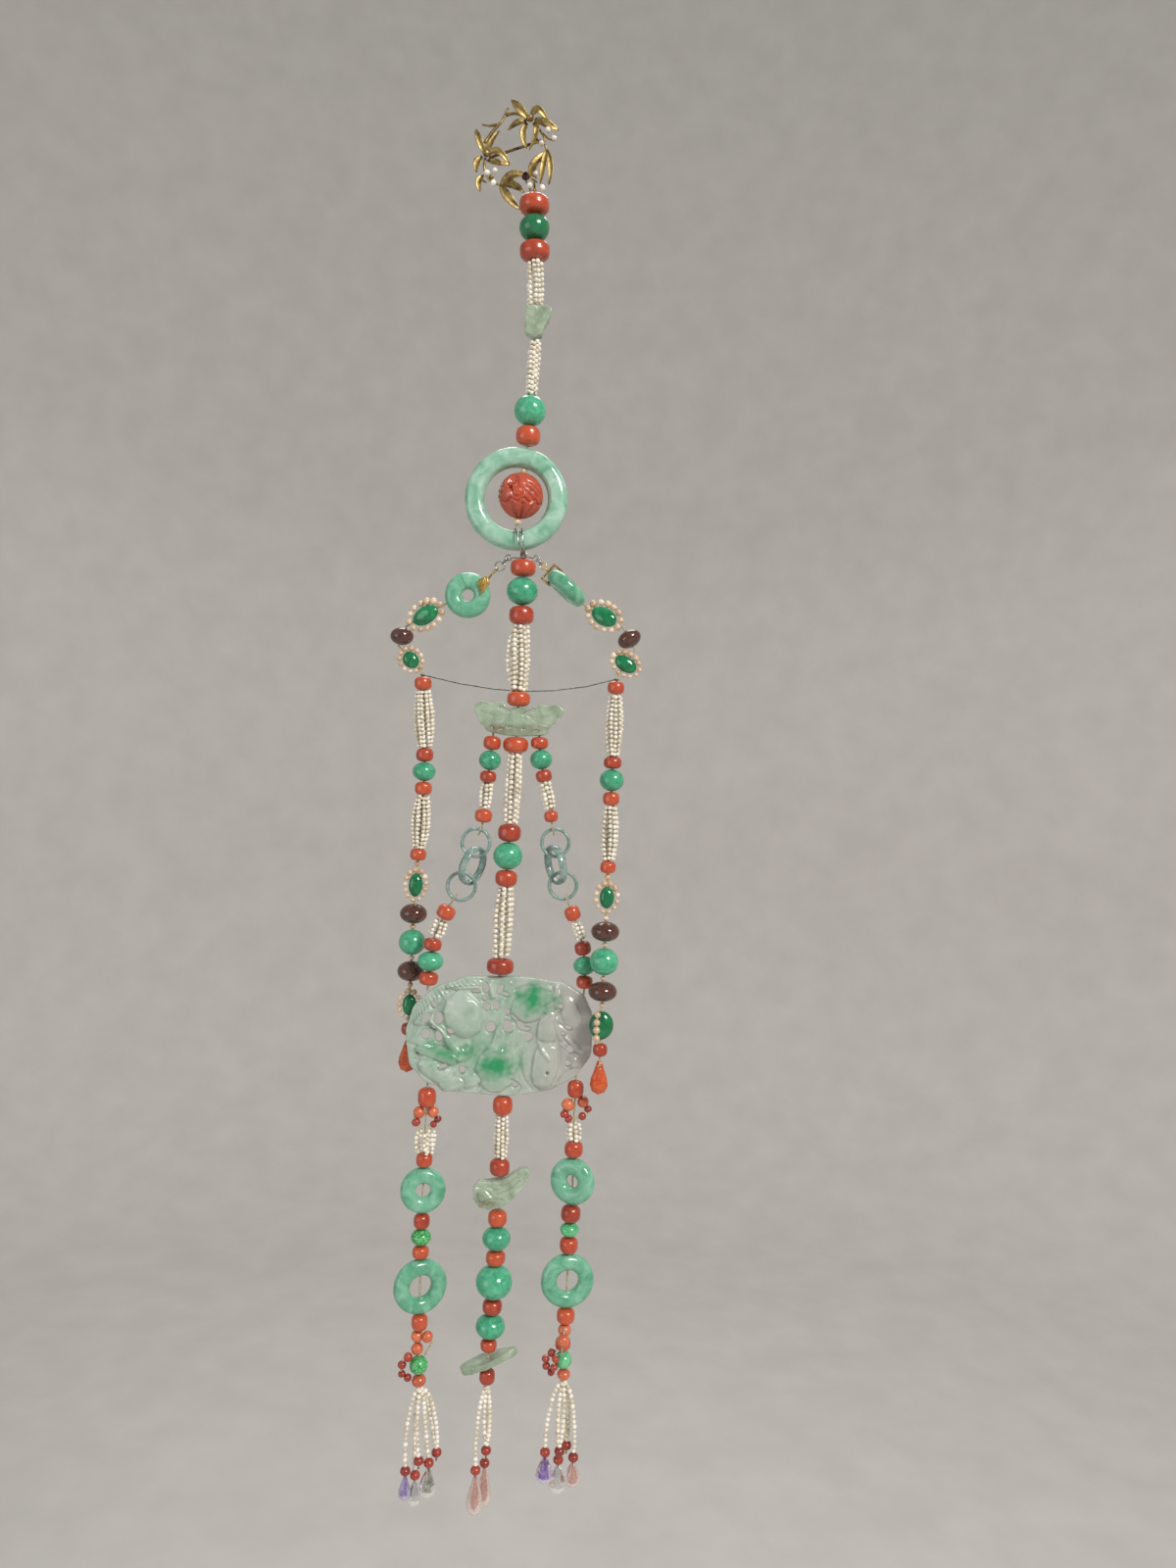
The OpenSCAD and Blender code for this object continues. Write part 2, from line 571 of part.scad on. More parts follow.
// The ball carved with a roundel and a fan of ribs
ball_radius = 8.1;
ball_centre = (neck_points[10] + neck_points[11]) / 2;
module coral_ball() color(CORAL_RED) difference() {
    translate(ball_centre) sphere(r = ball_radius);
    thread_hole(neck_points[10], neck_points[11]);
    translate(ball_centre + [-3.2, -7.0, 3.0]) loop(1.9, 0.4);
    translate(ball_centre + [3.4, -6.6, -2.6]) loop(2.6, 0.4);
}

// The plaque: a slab whose outline is fuller at its upper right, raised fruit, gourds and leaves
plaque_centre = [8.6, 0.2, -316.25];
plaque_half = [33.4, 21.6, 20.9];
function plaque_power(t) = t < 90 ? 3.4 : t < 180 ? 2.3 : t < 270 ? 3.0 : 2.2;
function scallop(t) = 1 - 0.008 * (1 + cos(15 * t));
plaque_outline = [for (t = [2 : 4 : 358]) let (power = 2 / plaque_power(t)) scallop(t) * [
    sign(cos(t)) * pow(abs(cos(t)), power) * plaque_half[0],
    sign(sin(t)) * pow(abs(sin(t)), power) * plaque_half[t < 180 ? 1 : 2]]];
// Raised forms: start X and Z, end X and Z, half width at each, height
plaque_forms = [[-5.5, -308, -3.6, -310, 7.2, 7.2, 2.4], [10.8, -315, 10.4, -318, 4.6, 5.0, 1.8],
    [9.4, -323, 7.6, -328, 6.2, 8.0, 2.4], [17.4, -306, 23.4, -302.6, 6.0, 5.8, 1.9],
    [25.6, -309, 25.6, -314, 3.6, 4.0, 1.6], [25.6, -322, 25.4, -329, 5.0, 5.6, 2.0],
    [32, -304, 34.5, -309, 3.2, 3.6, 1.0], [35.4, -323.6, 36, -325, 2.4, 2.0, 0.8],
    [-19, -321.6, -8, -324.6, 2.2, 2.4, 1.6], [-17, -327, -11, -331, 3.4, 3.6, 1.4],
    [-10, -334, -1, -331.4, 2.6, 3.4, 1.6], [-16, -311, -9.6, -317, 1.2, 1.2, 1.4],
    [-9.6, -317, -5, -324, 1.4, 1.6, 1.6], [4.6, -297.4, 5.8, -301.6, 1.3, 1.2, 1.6],
    [28.2, -298, 28.2, -304, 1.2, 1.4, 1.8], [31.5, -315, 38, -320.4, 1.0, 1.2, 0.9],
    [-14, -304.5, -21, -312, 1.6, 1.4, 1.0], [0, -298, -10, -299, 1.4, 1.2, 1.2]];
// Openings cut through: X, Z, width, height and turn
plaque_openings = [[-20.1, -323.0, 1.5, 1.2, 0], [-15.2, -305.8, 2.3, 2.7, 0],
    [-18.0, -310.7, 3.1, 4.8, 35], [-13.4, -310.6, 3.4, 5.0, 0], [-14.8, -313.8, 2.6, 1.6, 0],
    [-17.9, -316.5, 3.6, 4.1, 0], [-13.1, -317.0, 2.9, 4.3, 0], [-9.1, -315.1, 2.9, 2.7, 0],
    [-7.6, -300.2, 1.5, 1.2, 0], [2.9, -299.2, 2.4, 4.3, 0], [-0.6, -300.6, 4.3, 1.3, 0],
    [2.5, -302.8, 2.4, 2.3, 0], [3.6, -305.9, 3.1, 3.1, 0], [7.0, -305.3, 2.7, 3.6, 10],
    [8.2, -299.4, 2.3, 4.1, 30], [9.8, -301.0, 4.1, 1.9, 20], [11.1, -307.5, 1.5, 2.8, 10],
    [5.2, -313.0, 3.8, 4.3, 20], [11.4, -312.6, 3.9, 5.0, -20], [15.9, -312.1, 2.9, 4.1, -35],
    [18.1, -313.2, 3.6, 1.8, 0], [18.9, -316.0, 2.8, 4.2, 35], [29.8, -304.5, 2.0, 2.6, 0],
    [32.8, -312.0, 2.9, 1.8, 20], [31.1, -314.3, 1.9, 1.9, 0], [33.6, -319.6, 2.9, 3.6, -30],
    [33.2, -324.7, 2.3, 2.7, 0], [26.1, -327.9, 1.4, 1.4, 0], [14.7, -333.1, 2.3, 2.2, 0],
    [-11.3, -327.9, 3.8, 2.0, -20], [-4.3, -328.6, 2.4, 3.1, 0]];
module mound(x, z, radius, height)
    translate([x, 0, z]) scale([radius, height, radius]) sphere(r = 1, $fn = 10);
module plaque() color(PALE_JADE) difference() {
    union() {
        translate(plaque_centre) plate(plaque_outline, plaque_slab);
        for (form = plaque_forms) translate([0, plaque_centre.y - plaque_slab / 2, 0]) hull() {
            mound(form[0], form[1], form[4], form[6]);
            mound(form[2], form[3], form[5], form[6]);
        }
    }
    for (hole = plaque_openings) translate([hole[0], 0, hole[1]]) rotate([0, hole[4], 0])
        scale([hole[2] / 2, 1, hole[3] / 2]) rotate([90, 0, 0])
            cylinder(r = 1, h = 20, center = true, $fn = 8);
    for (end = plaque_threads) thread_hole(end[0], end[1]);
}
// Where the threads enter the plaque: deep end, then the end outside its edge
function from_end(points) = let (last = points[len(points) - 1], before = points[len(points) - 2])
    [last + 2.6 * (last - before) / norm(last - before), last];
function from_start(points) =
    [points[0] - 2.6 * (points[1] - points[0]) / norm(points[1] - points[0]), points[0]];
plaque_threads = [from_end(centre_points), from_end(inner_left_foot_points),
    from_end(inner_right_foot_points), from_start(lower_left_points),
    from_start(lower_middle_points), from_start(lower_right_points)];
// The same runs for the threads, which stop short of the bottom of each hole
function entering(pair) = pair[1] + 0.75 * (pair[0] - pair[1]);

// Brooch: petals and leaves run from one point past a wide middle to a tip
wreath_y = -2.6;
// Start X and Z, tip X and Z, half width, forward lift of the middle and, on one leaf, of the tip
wreath_leaves = [[5.2, 9.0, -1.4, 15.6, 2.4, 0.8], [5.2, 9.0, 7.2, 12.6, 1.8, 0.6],
    [7.2, 12.4, 11.5, 9.4, 1.4, 0.2], [5.2, 9.0, 15.2, 6.2, 2.2, 0.6], [5.2, 9.0, -2.0, 5.7, 2.4, 0.8],
    [5.2, 9.0, 4.4, 0.0, 2.0, 0.8], [7.8, 5.2, 5.3, -0.8, 1.2, 1.4], [-9.6, -4.1, -13.5, 4.7, 2.4, 0.8],
    [-9.6, -4.1, -5.7, 4.2, 2.3, 0.8], [-9.6, -4.1, -5.4, -2.2, 1.6, 1.2],
    [-5.4, -2.4, -1.6, -6.6, 1.4, 1.0], [-9.6, -4.1, -4.4, -7.4, 1.6, 0.6],
    [-9.6, -4.1, -13.0, -8.0, 1.7, 0.4], [-9.6, -4.1, -11.2, -16.2, 2.0, 0.2],
    [5.8, -9.8, -4.2, -13.3, 2.0, 0.4],
    [5.8, -9.9, 2.6, -21.4, 1.5, 2.2, 1.8], [5.8, -9.9, 11.3, -1.2, 2.2, 0.4],
    [6.6, -9.4, 10.0, -13.0, 1.2, 0.8], [6.6, -9.0, 12.6, -12.8, 1.3, 0.2]];
// Twigs: points in X and Z
wreath_twigs = [[[-10.6, 0.9], [-7.7, 4.9], [-4.6, 8.2], [-2.9, 10.4], [0.3, 11.3], [5.2, 9.0]],
    [[-11.0, 6.9], [-5.4, 7.6]], [[-2.5, 13.0], [-3.9, 9.3]], [[5.2, 9.0], [8.1, 7.4], [10.7, 3.3],
    [11.2, -1.2]], [[8.1, 7.4], [8.0, 1.8]], [[-4.4, -7.4], [0.6, -9.6], [5.8, -9.9], [5.8, -10.9]],
    [[-9.6, -4.1], [-10.6, 0.9]], [[5.8, -9.9], [7.8, -12.0]]];
// Pearls on pins: X, Z, size, the twig point that holds the pin, and the stand-off from the wreath
wreath_pearls = [[11.9, 5.3, 1.9, 10.0, 4.4, 0.6], [14.2, 2.4, 1.9, 11.0, 1.2, 0.6],
    [9.8, 0.4, 1.9, 11.0, -0.2, 0.6], [-6.2, -10.0, 2.0, -4.6, -8.2, 0.6],
    [-9.0, -10.9, 2.0, -10.2, -10.0, 0.6], [-6.6, -14.4, 2.0, -10.6, -13.0, 0.6],
    [8.3, -11.2, 1.9, 7.4, -10.0, 2.0], [6.4, -15.7, 2.0, 4.6, -15.3, 2.6],
    [10.8, -15.4, 2.0, 9.8, -12.6, 0.6]];
// The garnet: X, Z, size and stand-off
garnet = [5.0, -13.0, 3.0, 2.6];
// Lugs behind the wreath that hold the pin: X and Z
pin_lugs = [[-8.6, -3.2], [8.0, 3.0]];
module knob(x, z, radius, y = wreath_y) translate([x, y, z]) sphere(r = radius, $fn = 6);
module brooch_wreath() color(GOLD) difference() {
    union() {
        for (leaf = wreath_leaves) hull() {
            knob(leaf[0], leaf[1], 0.7);
            translate([(leaf[0] + leaf[2]) / 2, wreath_y - leaf[5], (leaf[1] + leaf[3]) / 2])
                scale([leaf[4], 0.8, leaf[4]]) sphere(r = 1, $fn = 8);
            knob(leaf[2], leaf[3], 0.5, wreath_y - (is_num(leaf[6]) ? leaf[6] : -0.3));
        }
        for (twig = wreath_twigs) for (i = [1 : len(twig) - 1]) hull() {
            knob(twig[i - 1][0], twig[i - 1][1], 0.55);
            knob(twig[i][0], twig[i][1], 0.55);
        }
        knob(5.2, 9.0, 2.1, wreath_y - 1.4);
        knob(-9.6, -4.1, 1.9, wreath_y - 1.4);
        for (pearl = wreath_pearls) {
            root_y = wreath_y - pearl[5] + 0.6;
            hull() {
                knob(pearl[0], pearl[1], 0.35, root_y);
                knob(pearl[3], pearl[4], 0.45, root_y + 0.2);
            }
            hull() {
                knob(pearl[0], pearl[1], 0.3, root_y);
                knob(pearl[0], pearl[1], 0.3, root_y - 2.4);
            }
        }
        hull() {
            knob(garnet[0], garnet[1], 0.35, wreath_y);
            knob(garnet[0], garnet[1], 0.3, wreath_y - garnet[3] - garnet[2]);
        }
        for (lug = pin_lugs) hull() {
            knob(lug[0], lug[1], 0.5);
            knob(lug[0], lug[1], 0.4, -1.2);
        }
        hull() {
            knob(7.8, -12.0, 0.5);
            knob(7.8, -12.4, 0.4, 0);
        }
        for (t = [0 : 45 : 315]) hull() {
            translate([7.8, cos(t), -13.6 + sin(t)]) sphere(r = 0.3, $fn = 6);
            translate([7.8, cos(t + 45), -13.6 + sin(t + 45)]) sphere(r = 0.3, $fn = 6);
        }
    }
}
module brooch_pearls() color(PEARL_CREAM) for (pearl = wreath_pearls)
    translate([pearl[0], wreath_y - pearl[5] - pearl[2] / 2, pearl[1]]) rotate([90, 0, 0])
        bead(pearl[2], pearl[2] * 0.95);
module brooch_garnet() color(GARNET)
    translate([garnet[0], wreath_y - garnet[3] - garnet[2] / 2, garnet[1]])
    rotate([90, 0, 0]) rotate_extrude($fn = 10) polygon([
        [bore_radius, -garnet[2] / 2], [0.9, -garnet[2] / 2], [garnet[2] / 2, 0],
        [0.9, garnet[2] / 2], [bore_radius, garnet[2] / 2]]);
pin_ends = [[-9, 0, -3.4], [9.5, 0, 3.6]];
pin_length = 19.6;
module brooch_pin() color(GOLD)
    between(pin_ends[0], pin_ends[1]) cylinder(r = 0.5, h = pin_length, center = true);

// Wire loops under the ring. Two jump rings hang through it, one loop of each strand round both
loop_height = -144.5;
jump_height = -139.9;
jump_radius = 4.9;
module jump_ring(top, bottom) {
    lean = asin((bottom - top) / 2 / jump_radius);
    translate([(top + bottom) / 2, 0, jump_height])
        rotate([0, -lean, 0]) rotate([0, 0, 90]) loop(jump_radius, 0.3);
}
module ring_bails() color(SILVER) {
    jump_ring(6.2, 9.2);
    jump_ring(8.6, 10.0);
}
// Left and right shoulder chains: eye, small rings, then the ring of the gold bail
left_eye = [4.2, 0.9, -145.4];
right_eye = [14.3, -0.9, -145.6];
left_chain_lean = -43;
right_chain_lean = 43.5;
left_ring_steps = [1.8, 4.3, 6.9];
right_ring_steps = [1.6, 3.4];
module small_loop(centre, radius, turned, lean)
    translate(centre) rotate([0, -lean, 0]) rotate([0, 0, turned ? 90 : 0]) loop(radius, wire_radius);
module shoulder_links() color(SILVER) {
    union() {
        small_loop([9.6, 0.9, loop_height], 1.05, false, 0);
        wire([[8.76, 0.9, -145.13], [5.2, 0.9, -145.4]], wire_radius);
        small_loop(left_eye, 1.0, false, 0);
    }
    small_loop(left_eye + left_ring_steps[0] * heading(left_chain_lean), 1.5, true, left_chain_lean);
    small_loop(left_eye + left_ring_steps[1] * heading(left_chain_lean), 1.7, false, 0);
    union() {
        small_loop([9.6, -0.9, loop_height], 1.05, false, 0);
        wire([[10.44, -0.9, -145.13], [13.3, -0.9, -145.6]], wire_radius);
        small_loop(right_eye, 1.0, false, 0);
    }
    small_loop(right_eye + right_ring_steps[0] * heading(right_chain_lean), 1.3, true, right_chain_lean);
}
// A gold bail: two leaves over the rim of a donut, pinned through it. Local +Z points out of the rim
bail_gap = 0.15;
bail_plate = 0.7;
module bail(radius, width) {
    side = width / 2 + bail_gap + bail_plate / 2;
    for (y = [-side, side]) translate([0, y, 0])
        plate([[0, radius - 3.5], [1.5, radius - 1.9], [1.2, radius - 0.2], [0.6, radius + 1],
            [-0.6, radius + 1], [-1.2, radius - 0.2], [-1.5, radius - 1.9]], bail_plate);
    translate([0, 0, radius + 0.55]) cube([1.1, 2 * side, 0.7], center = true);
    translate([0, 0, radius - 2]) rotate([90, 0, 0])
        cylinder(r = thread_radius, h = 2 * side, center = true);
}
module at_left_donut() translate(left_donut_centre) rotate([0, 50, 0]) children();
module at_right_donut()
    translate(right_donut_centre) rotate([0, -50, 0]) rotate([0, 0, -90]) children();
module bail_pin_hole(radius)
    translate([0, 0, radius - 2]) rotate([90, 0, 0]) cylinder(r = bore_radius, h = 12, center = true);
left_bail_ring = left_eye + left_ring_steps[2] * heading(left_chain_lean);
right_bail_ring = right_eye + right_ring_steps[1] * heading(right_chain_lean);
bail_top = shoulder_donut_radius + 0.6;
module shoulder_bails() color(GOLD) {
    union() {
        at_left_donut() bail(shoulder_donut_radius, shoulder_donut_width);
        small_loop(left_bail_ring, 1.6, true, left_chain_lean);
        wire([left_bail_ring + 1.6 * heading(left_chain_lean),
            left_donut_centre + bail_top * [sin(50), 0, cos(50)]], 0.4);
    }
    union() {
        at_right_donut() bail(shoulder_donut_radius, shoulder_donut_width);
        small_loop(right_bail_ring, 1.2, false, right_chain_lean);
        wire([right_bail_ring + 1.2 * heading(right_chain_lean),
            right_donut_centre - bail_top * heading(50)], 0.4);
    }
}
module left_donut() color(JADE_GREEN) difference() {
    translate(left_donut_centre) donut(shoulder_donut_radius, 2.1, shoulder_donut_width);
    between(left_shoulder[0], left_shoulder[1]) cylinder(r = bore_radius, h = 11, center = true);
    at_left_donut() bail_pin_hole(shoulder_donut_radius);
}
module right_donut() color(JADE_GREEN) difference() {
    at_right_donut() donut(shoulder_donut_radius, 2.1, shoulder_donut_width);
    between(right_shoulder[0], right_shoulder[1]) cylinder(r = bore_radius, h = 11, center = true);
    at_right_donut() bail_pin_hole(shoulder_donut_radius);
}
eye_radius = 0.78;
eye_drop = [0, 0, -0.5];
eye_wire = 0.22;
module spreader_wire() color(SILVER) {
    left = left_shoulder[4] + eye_drop;
    right = right_shoulder[4] + eye_drop;
    for (p = [left, right]) translate(p) rotate([90, 0, 0]) loop(eye_radius, eye_wire);
    tube([left + [eye_radius, 0, 0], [-12, 8.5, -190.5], [0, 7.5, -192], [10, 6, -192.5],
        [22, 3.5, -192], [34, -2, -190.5], right - [eye_radius, 0, 0]], eye_wire);
}

// Oval stones of a shoulder: their stretch, stone width and length, ring width and length, pearl
left_shoulder_ovals = [[1, 6.4, 11.2, 11.4, 16.4, shoulder_pearl], [3, 5.6, 6.9, 9.7, 11.0, arm_pearl]];
right_shoulder_ovals = [[1, 6.4, 10.4, 11.4, 15.6, shoulder_pearl], [3, 8.4, 5.6, 12.4, 9.8, arm_pearl]];
arm_ring_width = 9.4;
module shoulder_ovals(rows, points, ring)
    for (row = rows) between(points[row[0]], points[row[0] + 1])
        if (ring) pearl_ring(row[3], row[4], row[5]);
        else oval_stone(row[1], row[2]);
module arm_ovals(rows, points, ring)
    for (i = [0 : len(rows) - 1]) if (rows[i][KIND] == OVAL) between(points[i], points[i + 1])
        if (ring) pearl_ring(arm_ring_width, rows[i][LENGTH] - 0.2, arm_pearl);
        else oval_stone(rows[i][WIDTH], rows[i][LENGTH] - 4.3);
module shoulder_smoky(points) between(points[2], points[3]) bead(8.6, 6.0, 2.2);

// The last green stone of the right arm, with a short rod of pearls in front of it
last_stone = (right_arm_points[16] + right_arm_points[17]) / 2;
pearl_rod = last_stone + [-1.6, -4.1, 0];
module last_green_stone() difference() {
    translate(last_stone) cut_stone(oval(8.6, 10.4, 12), 4.4, 0.62);
    translate(last_stone) cylinder(r = bore_radius, h = 12, center = true);
}

left_drop_top = left_arm_points[len(left_arm)];
right_drop_top = right_arm_points[len(right_arm)];
module hanging_drop(p) translate(p - [0, 0, 7.5]) flat_drop();
module drop_loop_at(p) translate(p - [0, 0, 1.9]) rotate([0, 0, 90]) loop(drop_loop, 0.22);

// Threads, one for each run of beads
neck_loop = [7.8, 0, -14.85];
module strand_thread(points) tube(corners(points), thread_radius);
module threads() color(SILK) {
    union() {
        translate(neck_loop) loop(0.95, wire_radius);
        strand_thread(concat([neck_loop - [0, 0, 0.95]], neck_points));
        translate(neck_points[len(neck)]) sphere(r = 0.5);
    }
    union() {
        translate([9.6, 0, loop_height]) loop(1.05, wire_radius);
        strand_thread(concat([[9.6, 0, loop_height - 1.05]], centre_points, [entering(plaque_threads[0])]));
    }
    union() {
        strand_thread(concat(left_shoulder, left_arm_points, [left_drop_top - [0, 0, 0.6]]));
        drop_loop_at(left_drop_top);
    }
    union() {
        strand_thread(concat(right_shoulder, right_arm_points, [right_drop_top - [0, 0, 0.6]]));
        drop_loop_at(right_drop_top);
    }
    union() {
        strand_thread(concat([inner_left_start - 4 * heading(inner_left[0][LEAN])], inner_left_points,
            [left_chain_points[0] - tie_reach(left_link) * heading(left_leans[0])]));
        tie(left_link, left_chain_points[0] - (left_link[0] + left_link[1]) * heading(left_leans[0]),
            left_leans[0]);
    }
    union() {
        strand_thread(concat([inner_right_start - 4 * heading(inner_right[0][LEAN])],
            inner_right_points,
            [right_chain_points[0] - tie_reach(right_link) * heading(right_leans[0])]));
        tie(right_link,
            right_chain_points[0] - (right_link[0] + right_link[1]) * heading(right_leans[0]),
            right_leans[0]);
    }
    union() {
        strand_thread(concat([left_chain_points[2] + tie_reach(left_link) * heading(left_leans[3])],
            inner_left_foot_points, [entering(plaque_threads[1])]));
        tie(left_link, left_chain_points[2], left_leans[3]);
    }
    union() {
        strand_thread(concat([right_chain_points[2] + tie_reach(right_link) * heading(right_leans[3])],
            inner_right_foot_points, [entering(plaque_threads[2])]));
        tie(right_link, right_chain_points[2], right_leans[3]);
    }
    strand_thread(concat([entering(plaque_threads[3])], lower_left_points,
        tail_of(lower_left_foot_points), [left_tassel_head + [0, 0, 0.3]]));
    for (fork = left_forks) strand_thread(fork_points(fork));
    for (fork = right_forks) strand_thread(fork_points(fork));
    strand_thread([right_arm_points[16] + [-0.3, -1.0, -0.4], pearl_rod + [0, 0, 5.6],
        pearl_rod - [0, 0, 5.6], right_arm_points[17] + [-0.3, -1.0, 0.4]]);
    strand_thread(concat([entering(plaque_threads[4])], lower_middle_points,
        [middle_tassel_head + [0, 0, 0.3]]));
    strand_thread(concat([entering(plaque_threads[5])], lower_right_points,
        tail_of(lower_right_foot_points), [right_tassel_head + [0, 0, 0.3]]));
}

module accents() {
    pieces(neck, neck_points, PEARL);
    pieces(left_arm, left_arm_points, PEARL);
    pieces(right_arm, right_arm_points, PEARL);
}
module lower_corals(rows, points, foot, foot_points, forks, strings) {
    pieces(rows, points, CORAL);
    pieces(foot, foot_points, SMALL);
    for (fork = forks) fork_pieces(fork);
    end_corals(strings);
}
module lower_donuts(points, first, second)
    for (i = [4, 8]) translate((points[i] + points[i + 1]) / 2)
        rotate([0, i == 4 ? 0 : -second[3], 0]) rotate([0, 0, i == 4 ? first[2] : second[2]])
            bored_donut(i == 4 ? first[0] : second[0], i == 4 ? first[1] : second[1], lower_donut_width);

CORAL_RED = [0.72, 0.26, 0.18];
JADE_GREEN = [0.28, 0.69, 0.5];
PALE_JADE = [0.68, 0.75, 0.66];
PEARL_CREAM = [0.89, 0.85, 0.75];
GOLD = [0.83, 0.66, 0.3];
SILVER = [0.75, 0.75, 0.75];
SMOKE = [0.25, 0.16, 0.15];
SILK = [0.55, 0.5, 0.42];
GARNET = [0.45, 0.08, 0.1];
QUARTZ = [0.85, 0.8, 0.85];
CARNELIAN = [0.82, 0.29, 0.11];
EMERALD = [0.04, 0.48, 0.28];

module left_shoulder_stones() {
    shoulder_ovals(left_shoulder_ovals, left_shoulder, false);
    arm_ovals(left_arm, left_arm_points, false);
}
module right_shoulder_stones() {
    shoulder_ovals(right_shoulder_ovals, right_shoulder, false);
    arm_ovals(right_arm, right_arm_points, false);
    last_green_stone();
}

module neck_coral() color(CORAL_RED) pieces(neck, neck_points, CORAL);
module neck_jade() color(JADE_GREEN) pieces(neck, neck_points, JADE);
module neck_pearls() color(PEARL_CREAM) pieces(neck, neck_points, BUNDLE);
module jade_ring() color(JADE_GREEN) difference() {
    translate([6.1, 0, -124.6]) donut(ring_radius, ring_opening, ring_width);
    thread_hole(neck_points[8], neck_points[9] + 2 * heading(neck[8][LEAN]));
}
module accent_pearls() color(PEARL_CREAM) accents();
module centre_coral() color(CORAL_RED) pieces(centre, centre_points, CORAL);
module centre_jade() color(JADE_GREEN) pieces(centre, centre_points, JADE);
module centre_pearls() color(PEARL_CREAM) pieces(centre, centre_points, BUNDLE);
module left_emeralds() color(EMERALD) left_shoulder_stones();
module right_emeralds() color(EMERALD) right_shoulder_stones();
module left_pearl_rings() color(PEARL_CREAM) {
    shoulder_ovals(left_shoulder_ovals, left_shoulder, true);
    arm_ovals(left_arm, left_arm_points, true);
}
module right_pearl_rings() color(PEARL_CREAM) {
    shoulder_ovals(right_shoulder_ovals, right_shoulder, true);
    arm_ovals(right_arm, right_arm_points, true);
    translate(pearl_rod) bead(2.6, 10.6, 8);
}
module left_smoky() color(SMOKE) {
    shoulder_smoky(left_shoulder);
    pieces(left_arm, left_arm_points, SMOKY);
}
module right_smoky() color(SMOKE) {
    shoulder_smoky(right_shoulder);
    pieces(right_arm, right_arm_points, SMOKY);
}
module left_coral() color(CORAL_RED) pieces(left_arm, left_arm_points, CORAL);
module right_coral() color(CORAL_RED) pieces(right_arm, right_arm_points, CORAL);
module left_arm_jade() color(JADE_GREEN) pieces(left_arm, left_arm_points, JADE);
module right_arm_jade() color(JADE_GREEN) pieces(right_arm, right_arm_points, JADE);
module left_arm_pearls() color(PEARL_CREAM) pieces(left_arm, left_arm_points, BUNDLE);
module right_arm_pearls() color(PEARL_CREAM) pieces(right_arm, right_arm_points, BUNDLE);
module left_drop() color(CARNELIAN) hanging_drop(left_drop_top);
module right_drop() color(CARNELIAN) hanging_drop(right_drop_top);
module inner_left_coral() color(CORAL_RED) {
    pieces(inner_left, inner_left_points, CORAL);
    pieces(inner_left_foot, inner_left_foot_points, CORAL);
}
module inner_left_jade() color(JADE_GREEN) {
    pieces(inner_left, inner_left_points, JADE);
    pieces(inner_left_foot, inner_left_foot_points, JADE);
}
module inner_left_pearls() color(PEARL_CREAM) {
    pieces(inner_left, inner_left_points, BUNDLE);
    pieces(inner_left_foot, inner_left_foot_points, BUNDLE);
}
module left_chain() color(PALE_JADE) chain(left_link, left_chain_points, left_leans, middle_turn);
module lower_left_coral() color(CORAL_RED) lower_corals(lower_left, lower_left_points, lower_left_foot,
    lower_left_foot_points, left_forks, left_strings);
module lower_left_jade() color(PALE_JADE) {
    pieces(lower_left, lower_left_points, JADE);
    pieces(lower_left_foot, lower_left_foot_points, JADE);
}
module lower_left_tassel() color(PEARL_CREAM) tassel(left_tassel_head, left_strings);
module inner_right_coral() color(CORAL_RED) {
    pieces(inner_right, inner_right_points, CORAL);
    pieces(inner_right_foot, inner_right_foot_points, CORAL);
}
module inner_right_jade() color(JADE_GREEN) {
    pieces(inner_right, inner_right_points, JADE);
    pieces(inner_right_foot, inner_right_foot_points, JADE);
}
module inner_right_pearls() color(PEARL_CREAM) {
    pieces(inner_right, inner_right_points, BUNDLE);
    pieces(inner_right_foot, inner_right_foot_points, BUNDLE);
}
module right_chain() color(PALE_JADE) chain(right_link, right_chain_points, right_leans, -middle_turn);
module lower_right_coral() color(CORAL_RED) lower_corals(lower_right, lower_right_points, lower_right_foot,
    lower_right_foot_points, right_forks, right_strings);
module lower_right_jade() color(PALE_JADE) {
    pieces(lower_right, lower_right_points, JADE);
    pieces(lower_right_foot, lower_right_foot_points, JADE);
}
module lower_right_tassel() color(PEARL_CREAM) tassel(right_tassel_head, right_strings);
module lower_left_donuts() color(JADE_GREEN)
    lower_donuts(lower_left_points, [8.1, 2.5, 12], [9.7, 4.0, 24, 2]);
module lower_right_donuts() color(JADE_GREEN)
    lower_donuts(lower_right_points, [8.3, 2.2, -22], [9.55, 3.9, 12, 0]);
module lower_middle_tassel() color(PEARL_CREAM) tassel(middle_tassel_head, middle_strings);
module lower_pearls() color(PEARL_CREAM) {
    pieces(lower_left, lower_left_points, BUNDLE);
    pieces(lower_middle, lower_middle_points, BUNDLE);
    pieces(lower_right, lower_right_points, BUNDLE);
}
module lower_drops() color(QUARTZ) {
    drops_of(left_strings, [[4.5, 8.8], [5.0, 9.2], [6.2, 10.5]]);
    drops_of(middle_strings, [[5.8, 14.2], [5.8, 14.2]]);
    drops_of(right_strings, [[6.5, 9.1], [6.5, 10.1], [5.9, 8.6]]);
}
module lower_middle_coral() color(CORAL_RED) {
    pieces(lower_middle, lower_middle_points, CORAL);
    end_corals(middle_strings);
}
module lower_middle_jade() color(JADE_GREEN) pieces(lower_middle, lower_middle_points, JADE);

